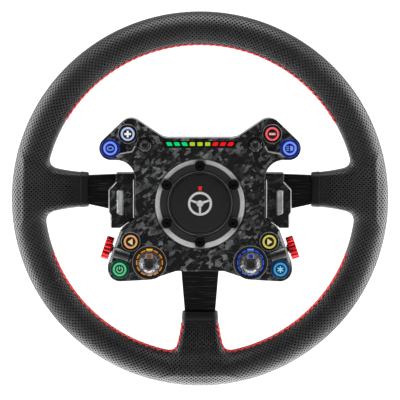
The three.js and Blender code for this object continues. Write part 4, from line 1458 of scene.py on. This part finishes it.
def make_button(button, side):
    ring_light, icon_light, icon, bezel_material, bezel_slot, cap_slot = BUTTON_LOOKS[button, side]
    node = f"button_bezel_{button}_{side}"
    x, z = place_of(node)
    front, back = box_mm(node)[0].y, box_mm(node)[1].y
    bezel = turned(f"bezel_{button}_{side}", [
        (BEZEL_BORE, front + 0.5, 0.2), (BEZEL_BORE + 0.7, front, 0.25), (BEZEL_RADIUS - 0.45, front, 0.3),
        (BEZEL_RADIUS, front + 0.5, 0.15), (BEZEL_RADIUS, front + 0.88), (7.4, front + 0.9), (7.4, back),
        (BEZEL_BORE, back),
    ], x, z, 64)
    publish(bezel, BEZELS[bezel_material], "wheel", [node])
    # A thin ring round the bezel's rim: on the black gloss bezels a pale painted highlight, on the glass
    # bezels a lip of the same glass.
    line = turned(f"bezel_line_{button}_{side}", [
        (BEZEL_RADIUS - 0.5, front + 0.12), (BEZEL_RADIUS - 0.12, front + 0.16, 0.1),
        (BEZEL_RADIUS + 0.02, front + 0.45), (BEZEL_RADIUS - 0.5, front + 0.6),
    ], x, z, 64)
    publish(line, PAINTED_DIM_HIGHLIGHT if bezel_material == "gloss" else BEZELS[bezel_material], "wheel")
    body = f"button_{button}_{side}"
    cap_node = f"button_cap_{button}_{side}"
    face = box_mm(cap_node)[0].y
    cap = turned(f"cap_{button}_{side}", [
        (0, face + 0.25), (RING_INNER - 0.2, face + 0.35, 0.2), (RING_INNER, face + 0.75),
        (RING_OUTER, face + 0.75), (RING_OUTER + 0.1, face + 0.4, 0.1), (BUTTON_RADIUS, face + 0.75, 0.2),
        (BUTTON_RADIUS, face + 4.8, 0.2), (2.5, face + 4.8), (2.5, face + 9), (0, face + 9),
    ], x, z, 64)
    publish(cap, BEZELS[bezel_material], body, [cap_node])
    inner, outer = RING_INNER + 0.05, RING_OUTER - 0.05
    light = turned(f"halo_{button}_{side}", [
        (inner, face + 0.7), (inner, face + 0.15, 0.15), (RING_INNER + 0.5, face, 0.3),
        (RING_OUTER - 0.5, face, 0.3), (outer, face + 0.2, 0.15), (outer, face + 0.7),
    ], x, z, 64)
    publish(light, LIGHTS[ring_light], body)
    rows = [(0, face + 0.5), (0, face + 0.1), (0.06, face + 0.02)]
    symbol = joined(f"icon_{button}_{side}", shifted(icon(rows), x, z, ICON_SIZE))
    publish(symbol, LIGHTS[icon_light], body)


# ---------------------------------------------------------------- joysticks

SKIRT_SIDES = 8


def sided_ring(sides, radius, y, x, z, start):
    """Points of a ring with flat sides, as (x, y, z)."""
    flat = [polar(radius, start + 2 * math.pi * k / sides, x, z) for k in range(sides)]
    return [(px, y, pz) for px, pz in flat]


def make_joystick(side):
    gimbal_node, cap_node = f"joystick_gimbal_{side}", f"joystick_cap_{side}"
    x, z = place_of(gimbal_node)
    pivot = middle_of(gimbal_node).y
    profile = [(2.7, pivot - 1, 0.2), (4.1, pivot - 1, 0.2), (4.1, pivot + 1, 0.2), (2.7, pivot + 1, 0.2)]
    gimbal = turned(f"gimbal_ring_{side}", profile, x, z, 40)
    publish(gimbal, BLACK_STEEL, gimbal_node, [gimbal_node])
    top = box_mm(cap_node)[0].y
    angles = np.linspace(0, math.pi / 2, 11)
    crown = [(4.9 * math.sin(angle), top + 4.4 * (1 - math.cos(angle))) for angle in angles]
    profile = [*crown, (4.9, top + 6.6), (1.9, top + 7.8), (1.9, pivot + 2, 0.3), (0, pivot + 2)]
    dome = turned(f"stick_dome_{side}", profile, x, z, 64)
    publish(dome, RUBBER, cap_node, [cap_node], sharp=50)
    # Painted shadow: a flat near-black ring on the plate round the stick.
    shadow_ring = turned(f"stick_painted_shadow_{side}", [
        (5.0, PLATE_FRONT - 0.1), (7.1, PLATE_FRONT - 0.1, 0.2), (7.4, PLATE_FRONT + 0.3),
        (5.0, PLATE_FRONT + 0.3),
    ], x, z, 64)
    publish(shadow_ring, INK, "wheel")
    half_side = math.pi / SKIRT_SIDES
    corner = 1 / math.cos(half_side)
    rows = [(4.7 * corner, 3.6), (4.85 * corner, 4.2), (5.0 * corner, 5.4), (5.2 * corner, 6.6), (5.95, 7.3),
            (5.95, 7.9), (4.4 * corner, 7.9)]
    points = [point for radius, y in rows
              for point in sided_ring(SKIRT_SIDES, radius, top + y, x, z, half_side)]
    skirt = mesh_object(f"stick_skirt_{side}", points, capped_faces(len(rows), SKIRT_SIDES))
    publish(soften(skirt, 0.16, 2, 15), RUBBER, cap_node)
    # Painted highlight: a pale strip along the skirt's lower edges.
    lip = sided_ring(SKIRT_SIDES, 5.7, top + 7.15, x, z, half_side - math.pi)[:5]
    publish(tube(f"stick_edge_highlight_{side}", lip, 0.26, 6), PAINTED_HIGHLIGHT, cap_node)


# ---------------------------------------------------------------- rotary knobs

DASH_COUNT = 12
KNOB_SIDES = 24


def arc_block(radius_in, radius_out, first, last, rows, x, z):
    """A short arc-shaped block centred on (x, z); angles in degrees."""
    arc = arc_icon((radius_in + radius_out) / 2, radius_out - radius_in, first, last, rows)
    return shifted([arc], x, z)[0]


def make_rotary(side, lit, dim):
    ring_node, knob_node = f"rotary_light_ring_{side}", f"rotary_knob_{side}"
    x, z = place_of(ring_node)
    low, high = box_mm(ring_node)
    outer, front = (high.x - low.x) / 2, low.y
    shelf = front + 0.8
    bezel = turned(f"rotary_bezel_{side}", [
        (7.7, shelf, 0.1), (12.8, shelf, 0.2), (13.3, front, 0.25), (outer - 0.4, front, 0.3),
        (outer, front + 0.4, 0.1), (outer, front + 1.5), (8.7, front + 1.5), (8.7, high.y), (7.7, high.y),
    ], x, z, 96)
    publish(bezel, GLOSS, "wheel", [ring_node])
    # Painted highlight: a pale ring round the bezel's outer edge.
    line = turned(f"rotary_edge_highlight_{side}", [
        (outer - 0.42, front - 0.02, 0.1), (outer + 0.05, front + 0.1, 0.15), (outer + 0.05, front + 0.8),
        (outer - 0.42, front + 0.8),
    ], x, z, 96)
    publish(line, PAINTED_DIM_HIGHLIGHT, "wheel")
    rows = [(0, shelf + 0.2), (0, shelf - 0.25), (0.1, shelf - 0.32)]
    step = 360 / DASH_COUNT
    middles = [90 + i * step for i in range(1, DASH_COUNT)]
    dashes = [arc_block(11.4, 12.35, middle - 11, middle + 11, rows, x, z) for middle in middles]
    publish(joined(f"rotary_dashes_{side}", dashes), LIGHTS[lit], "wheel")
    block = [(2.9, 12.9, 0.3), (2.9, 11.3, 0.3), (-2.9, 11.3, 0.3), (-2.9, 12.9, 0.3)]
    block_rows = [(0, shelf + 0.1), (0, front - 0.35), (0.15, front - 0.45)]
    pointer = shifted([flat_mesh(outline(block), block_rows)], x, z)
    publish(joined(f"rotary_pointer_{side}", pointer), LIGHTS[lit + "_bright"], "wheel")
    make_knob(side, knob_node, x, z, dim)


def slot_of_light(lit):
    return "light_orange" if lit == "orange" else "light_blue"


def make_knob(side, node, x, z, dim):
    low, high = box_mm(node)
    top = low.y
    half = math.pi / KNOB_SIDES
    rows = [(3.0, 13.7, 0), (10.9, 13.7, 0), (11.15, 12.6, 0), (10.9, 9.6, half), (10.35, 6.8, 0),
            (9.4, 4.3, half), (7.9, 2.2, 0), (5.6, 0.5, half), (3.8, 0.15, half)]
    vertices = [point for radius, y, shift in rows
                for point in sided_ring(KNOB_SIDES, radius, top + y, x, z, shift)]
    faces = []
    for face in capped_faces(len(rows), KNOB_SIDES):
        if len(face) > 4:
            faces.append(face)
            continue
        a, b, d, c = face
        late = rows[c // KNOB_SIDES][2] >= rows[a // KNOB_SIDES][2]
        faces += [(a, b, c), (b, d, c)] if late else [(a, b, d), (a, d, c)]
    knob = mesh_object(f"crystal_knob_{side}", vertices, faces)
    publish(knob, CRYSTAL, node, [node], sharp=1)
    disc = turned(f"knob_cap_{side}", [
        (0, top + 0.12), (3.4, top + 0.02, 0.4), (3.9, top, 0.2), (4.2, top + 0.3), (4.2, top + 0.6),
        (0, top + 0.6),
    ], x, z, 48)
    publish(disc, SATIN, node)
    profile = [(0, top + 13), (3, top + 13), (3, high.y, 0.4), (0, high.y)]
    shaft = turned(f"knob_shaft_{side}", profile, x, z, 32)
    publish(shaft, BLACK_STEEL, node)
    pointer = [(6.2, top + 0.3), (9.3, top + 3.2), (9.3, top + 5), (6.2, top + 2.4)]
    window = [(5.6, top + 0.05), (9.8, top + 3.95), (9.8, top + 5.5), (5.6, top + 2)]
    for name, section, half, material, slot in (
        ("pointer", pointer, 2.2, LIGHTS[dim], slot_of_light(dim.split("_")[0])),
        ("window", window, 3.0, GLOSS, "bezel_black"),
    ):
        ends = Vector((x - half, z)), Vector((x + half, z))
        piece = prism(f"knob_{name}_{side}", section, *ends, Vector((0, 1)))
        publish(soften(piece, 0.15, 2), material, node)


# ---------------------------------------------------------------- thumb wheels

THUMB_FLUTES = 13
THUMB_FLUTE_DEPTH = 0.85
THUMB_RADIUS = 10.75
THUMB_HALF = 3.55


def make_thumb_wheel(side, sign):
    count = THUMB_FLUTES * 12
    points = []
    for i in range(count):
        angle = 2 * math.pi * i / count
        flute = (0.5 + 0.5 * math.cos(THUMB_FLUTES * angle)) ** 3
        points.append(polar(THUMB_RADIUS - THUMB_FLUTE_DEPTH * flute, angle))
    disc = flat_piece(f"thumb_wheel_disc_{side}", points, edge_rows(THUMB_HALF, -THUMB_HALF, 0.4, 0.4))
    over, floor = THUMB_HALF + 1, THUMB_HALF - 0.9
    cut(disc, turned("dish", [(0, over), (5.4, over), (4.4, floor), (0, floor)], steps=48))
    matrix = thumb_frame(sign, THUMB_CENTRE[sign])
    disc.data.transform(matrix)
    publish(disc, RED, f"thumb_wheel_{side}", [f"thumb_wheel_{side}"], sharp=40)
    profile = [(0, -13.8), (2.6, -13.8, 0.4), (2.6, -1.2), (4.2, -1, 0.3), (4.2, 0.2), (0, 0.2)]
    profile = [(radius, y - THUMB_HALF, *rest) for radius, y, *rest in profile]
    shaft = turned(f"thumb_shaft_{side}", profile, steps=40)
    shaft.data.transform(matrix)
    publish(shaft, BLACK_STEEL, f"thumb_wheel_{side}")


# ---------------------------------------------------------------- shift paddles

PADDLE_BLADE = [
    (46.5, 15.6, 1.3), (58, 15.6, 3), (66, 20, 5), (103, 17.5, 6), (103, 0, 6), (85, -5, 6), (82, -25, 8),
    (62, -22, 6), (56, -9.6, 3), (46.5, -9.6, 1.3),
]


def block_piece(name, xs, ys, zs):
    """A box between two x, two y and two z."""
    (x0, x1), (y0, y1), (z0, z1) = sorted(xs), ys, zs
    return flat_piece(name, [(x0, z0), (x1, z0), (x1, z1), (x0, z1)], [(0, y1), (0, y0)])


def upright_pin(name, rows, hinge):
    """A turned pin standing along Z at a hinge, from (radius, -z) rows."""
    pin = turned(name, rows, steps=32)
    place = Vector((hinge.x, hinge.y, 0)) * MM
    pin.data.transform(Matrix.Translation(place) @ Matrix.Rotation(math.pi / 2, 4, "X"))
    return pin


def pin_bore(hinge):
    return upright_pin("bore", [(0, -30), (1.8, -30), (1.8, 30), (0, 30)], hinge)


def make_paddle(side, sign):
    hinge = joint_place(f"paddle_pull_{side}")
    blade_node, bracket_node, pin_node = f"paddle_{side}", f"paddle_bracket_{side}", f"paddle_pin_{side}"
    back = box_mm(blade_node)[1].y
    front = back - 3
    rows = edge_rows(back, front, 0.9, 0.9)
    blade = flat_piece(f"carbon_paddle_{side}", outline(mirror(PADDLE_BLADE, sign)), rows)
    scoop = [(72, 17, 3), (99, 15, 4), (99, 2.5, 4), (84, -2, 4), (80, -20, 5), (70, -18, 4)]
    rows = [(-0.3, back + 2), (-0.3, back), (0.9, back - 0.8)]
    cut(blade, flat_piece("scoop", outline(mirror(scoop, sign)), rows))
    publish(blade, CARBON, blade_node, [blade_node])
    name, xs = f"paddle_knuckle_{side}", (sign * 46.5, sign * 53.5)
    knuckle = block_piece(name, xs, (hinge.y - 3.5, front + 1), (-9.6, 15.6))
    publish(soften(cut(knuckle, pin_bore(hinge)), 0.8, 3), BLACK_STEEL, blade_node)
    profile = [(0, 0.2), (1.0, 0.2), (1.1, 0.9), (2.4, 0.8, 0.3), (2.7, -0.2), (0, -0.2)]
    profile = [(radius, back + y, *rest) for radius, y, *rest in profile]
    screws = [turned_mesh(profile, sign * 50, z, 24) for z in (-5, 11)]
    publish(joined(f"paddle_screws_{side}", screws), STEEL, blade_node)
    low, high = box_mm(bracket_node)
    xs = (sign * 43.5, sign * 62)
    base = block_piece(f"paddle_bracket_base_{side}", xs, (low.y, low.y + 3), (-14, 20))
    xs = (sign * 45, sign * 55)
    ears = [block_piece("ear", xs, (low.y + 2.5, high.y), zs) for zs in ((16, 20), (-14, -10))]
    cut(base, *ears, operation="UNION")
    cut(base, pin_bore(hinge))
    publish(soften(base, 0.7, 3), BLACK_STEEL, "wheel", [bracket_node])
    low, high = box_mm(pin_node)
    pin = upright_pin(f"paddle_hinge_pin_{side}", [
        (0, -high.z), (1.2, -high.z, 0.2), (1.5, -high.z + 0.4), (1.5, -low.z - 0.4), (1.2, -low.z, 0.2),
        (0, -low.z),
    ], hinge)
    publish(pin, STEEL, "wheel", [pin_node])
    profile = [(0, front - 2.2), (2.6, front - 2.2, 0.4), (2.6, front + 0.5), (0, front + 0.5)]
    magnets = [turned_mesh(profile, sign * 59, z, 24) for z in (2.5, 9.5)]
    publish(joined(f"paddle_magnets_{side}", magnets), STEEL, blade_node)


# ---------------------------------------------------------------- quick release

BALL_RADIUS = 4.5
QR_SOCKET_RADIUS = 17
QR_BODY_RADIUS = 24.5
QR_SOCKET_FLOOR = -34
QR_CONTACT_RADIUS = 11
QR_FLANGE_Y = -38
COLLAR_BORE = 24.85
COLLAR_GRIPS = 36
SPRING_RADIUS = 27
SPRING_TURNS = 3.5


def make_quick_release():
    front, middle, wall = box_mm("qr_body")[0].y, QR_CONTACT_RADIUS + 0.3, QR_BODY_RADIUS
    body = turned("release_body", [
        (middle, front), (FLANGE_RADIUS, front, 0.8), (FLANGE_RADIUS, QR_FLANGE_Y, 1.0),
        (26.5, QR_FLANGE_Y, 0.3), (wall, -37.2, 0.8), (wall, -2.9, 0.15), (wall - 1.3, -2.9),
        (wall - 1.3, -1.2), (wall, -1.2, 0.15), (wall, 0, 0.7), (QR_SOCKET_RADIUS, 0, 1.0),
        (QR_SOCKET_RADIUS, QR_SOCKET_FLOOR), (middle, QR_SOCKET_FLOOR),
    ], steps=120)
    tools = []
    hole = [(0, -50), (2.8, -50), (2.8, -38.6), (3.6, -37.8), (3.6, -30), (0, -30)]
    pocket = [(29.2, 3.4, 2), (39.5, 5.2, 2.5), (39.5, -5.2, 2.5), (29.2, -3.4, 2)]
    rows = [(-0.6, -34), (-0.3, QR_FLANGE_Y), (0.5, -40.5)]
    for p in BOLT_POSITIONS:
        tools.append(turned("bolt_hole", hole, p.x, p.z, 32))
        angle = math.atan2(p.z, p.x) + math.pi / 6
        tools.append(flat_piece("pocket", outline(spun(pocket, angle)), rows))
    for i in range(4):
        angle = math.pi / 4 + i * math.pi / 2
        bore = turned("ball_hole", [(0, 15), (4.2, 15), (4.9, 18.5), (4.9, 30), (0, 30)], steps=40)
        aim = Matrix.Rotation(-angle, 4, "Y") @ Matrix.Rotation(-math.pi / 2, 4, "Z")
        bore.data.transform(Matrix.Translation(Vector((0, -12, 0)) * MM) @ aim)
        tools.append(bore)
    slot = [(14.5, 3), (21, 3, 1), (21, -3, 1), (14.5, -3)]
    for i in range(3):
        angle = -math.pi / 2 + i * 2 * math.pi / 3
        tools.append(flat_piece("keyway", outline(spun(slot, angle)), [(0, 3), (0, -3)]))
    cut(body, *tools)
    publish(soften(body, 0.25, 2, 40), ALUMINIUM, "wheel", ["qr_body"])
    make_contact_block()
    make_collar()
    for i in range(4):
        make_ball(f"qr_ball_{i + 1}", f"lock_ball_{i + 1}")
    make_spring()
    angles = np.linspace(0.16, 2 * math.pi - 0.16, 90)
    around = [polar(27, angle) for angle in angles] + [polar(23.5, angle) for angle in reversed(angles)]
    snap = flat_piece("snap_ring", around, edge_rows(-1.5, -2.6, 0.2, 0.2, 2))
    publish(snap, STEEL, "wheel", ["qr_retaining_ring"])


def make_ball(node, name):
    centre = middle_of(node)
    angles = np.linspace(0, math.pi, 25)
    profile = [(BALL_RADIUS * math.sin(t), centre.y - BALL_RADIUS * math.cos(t)) for t in angles]
    ball = turned(name, profile, centre.x, centre.z, 48)
    publish(ball, STEEL, node, [node], sharp=80)


def make_spring():
    low, high = box_mm("qr_spring")
    steps = 240
    turn = np.linspace(0, SPRING_TURNS * 2 * math.pi, steps)
    rise = np.linspace(low.y + 1, high.y - 1, steps)
    path = np.stack([SPRING_RADIUS * np.cos(turn), rise, SPRING_RADIUS * np.sin(turn)], axis=1)
    spring = tube("release_spring", path, 1.0, 12)
    publish(spring, STEEL, "wheel", ["qr_spring"], sharp=70)
    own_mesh(spring)


def make_contact_block():
    low, high = box_mm("qr_contact_block")
    face, radius = high.y, QR_CONTACT_RADIUS
    block = turned("contact_block", [
        (0, low.y), (radius, low.y, 0.3), (radius, face - 1, 0.4), (radius - 1, face, 0.4), (7.6, face),
        (7.2, face - 0.9, 0.2), (2.4, face - 0.9, 0.2), (2.0, face, 0.2), (0, face),
    ], steps=72)
    publish(block, SATIN, "wheel", ["qr_contact_block"])
    end = face - 1.5
    pin = [(0, face - 0.1), (0.5, face - 0.2, 0.2), (0.95, face - 0.8, 0.2), (0.95, end), (0, end)]
    pins = [turned_mesh(pin, x, z, 20) for x, z in circle(4.8, steps=8)]
    publish(joined("contact_pins", pins), BRASS, "wheel")


def make_collar():
    collar = turned("release_collar", [
        (COLLAR_BORE, -24, 0.1), (29.2, -24), (29.2, -29.5, 0.2), (34.6, -29.5, 0.6), (36, -28.1, 0.8),
        (36, -26, 0.8), (32.4, -22.5, 1.5), (31.4, -20, 0.8), (31.4, -19.2), (30.7, -18.8), (30.7, -17.6),
        (31.4, -17.2), (31.4, -8.6), (30.7, -8.2), (30.7, -7.0), (31.4, -6.6), (31.4, -4, 0.4),
        (30.4, -3, 0.4), (26.6, -3), (COLLAR_BORE, -14.3),
    ], steps=144)
    notch = [(30.9, 0.75), (32.6, 1.3), (32.6, -1.3), (30.9, -0.75)]
    angles = [2 * math.pi * i / COLLAR_GRIPS for i in range(COLLAR_GRIPS)]
    grips = [flat_mesh(spun(notch, angle), [(0, -9.4), (0, -16.4)]) for angle in angles]
    cut(collar, joined("grips", grips))
    publish(soften(collar, 0.15, 2, 40), COLLAR_RED, "qr_collar", ["qr_collar"])


# ---------------------------------------------------------------- inside pieces kept from the CAD model


def finish_kept_nodes():
    for node, material in (("rim_core", FOAM), ("hub_spacer", ALUMINIUM), ("main_circuit_board", BOARD)):
        mesh = frame["nodes"][node].data
        mesh.materials.clear()
        mesh.materials.append(material)


# ---------------------------------------------------------------- build

make_grip()
for direction in SPOKE_DIRECTIONS:
    make_band(direction)
make_stitching()
make_frame()
make_housing()
make_plate()
make_window()
make_centre()
for side, sign in SIDES.items():
    make_panel(side, sign)
    for button in BUTTONS:
        make_button(button, side)
    make_joystick(side)
    make_thumb_wheel(side, sign)
    make_paddle(side, sign)
make_rotary("left", "orange", "orange_dim")
make_rotary("right", "blue_ring", "blue_ring_dim")
make_quick_release()
finish_kept_nodes()


# ---------------------------------------------------------------- stage, light and camera

CAMERA_DISTANCE = 2.2
CAMERA_ELEVATION = math.radians(6.5)
FRAME_WIDTH = 0.3719
SENSOR = 36.0
FLOOR_REACH = 200
FLOOR_HEIGHT = -0.6
rim_middle = Vector((0, RIM_Y * MM, 0))


def make_stage():
    mesh = bpy.data.meshes.new("floor")
    corners = [(-FLOOR_REACH, -FLOOR_REACH), (FLOOR_REACH, -FLOOR_REACH), (FLOOR_REACH, FLOOR_REACH),
               (-FLOOR_REACH, FLOOR_REACH)]
    mesh.from_pydata([(x, y, FLOOR_HEIGHT) for x, y in corners], [], [(0, 1, 2, 3)])
    floor = bpy.data.objects.new("floor", mesh)
    scene.collection.objects.link(floor)
    g = Graph("pale_floor")
    behind = g.remap(g.split(g.place())[1], -500.0, 2500.0)
    g.set(Base_Color=g.mix(behind, (0.66,) * 3, (0.9,) * 3), Roughness=0.9, Specular_IOR_Level=0.0,
          Emission_Color=g.mix(behind, (0.06,) * 3, (0.8,) * 3), Emission_Strength=1.0)
    floor.data.materials.append(g.material)


def make_world():
    """Pale studio air: bright behind and above the wheel, darker on the camera's side."""
    world = bpy.data.worlds.new("studio")
    scene.world = world
    world.use_nodes = True
    tree = world.node_tree
    background = tree.nodes["Background"]
    where = tree.nodes.new("ShaderNodeTexCoord")
    split = tree.nodes.new("ShaderNodeSeparateXYZ")
    ramp = tree.nodes.new("ShaderNodeMapRange")
    tree.links.new(where.outputs["Generated"], split.inputs[0])
    tree.links.new(split.outputs[1], ramp.inputs["Value"])
    for key, value in (("From Min", -0.7), ("From Max", 0.3), ("To Min", 0.05), ("To Max", 0.85)):
        ramp.inputs[key].default_value = value
    tree.links.new(ramp.outputs[0], background.inputs["Color"])
    background.inputs["Strength"].default_value = 1.0


def softbox(name, place, target, size, watts):
    light = bpy.data.lights.new(name, "AREA")
    light.shape = "RECTANGLE"
    light.size, light.size_y = size
    light.energy = watts
    lamp = bpy.data.objects.new(name, light)
    lamp.location = place
    lamp.rotation_mode = "QUATERNION"
    lamp.rotation_quaternion = (Vector(target) - Vector(place)).to_track_quat("-Z", "Y")
    lamp.visible_camera = False
    scene.collection.objects.link(lamp)


def make_camera():
    data = bpy.data.cameras.new("camera")
    data.sensor_width = SENSOR
    data.lens = SENSOR * CAMERA_DISTANCE / FRAME_WIDTH
    camera = bpy.data.objects.new("camera", data)
    back = Vector((0, -math.cos(CAMERA_ELEVATION), math.sin(CAMERA_ELEVATION)))
    camera.location = rim_middle + back * CAMERA_DISTANCE
    camera.rotation_mode = "QUATERNION"
    camera.rotation_quaternion = (-back).to_track_quat("-Z", "Y")
    scene.collection.objects.link(camera)
    scene.camera = camera


make_stage()
make_world()
softbox("top_softbox", (0, -0.3, 1.5), rim_middle, (1.6, 0.9), 34)
softbox("front_strip", (0, -1.3, 1.5), rim_middle, (0.8, 0.15), 5)
for side, sign in SIDES.items():
    softbox(f"{side}_panel", (0.6 * sign, 0.02, 0), rim_middle, (0.62, 0.9), 12)
softbox("low_panel", (0, 0.04, -0.56), rim_middle, (0.9, 0.6), 10)
make_camera()
scene.view_settings.view_transform = "Standard"
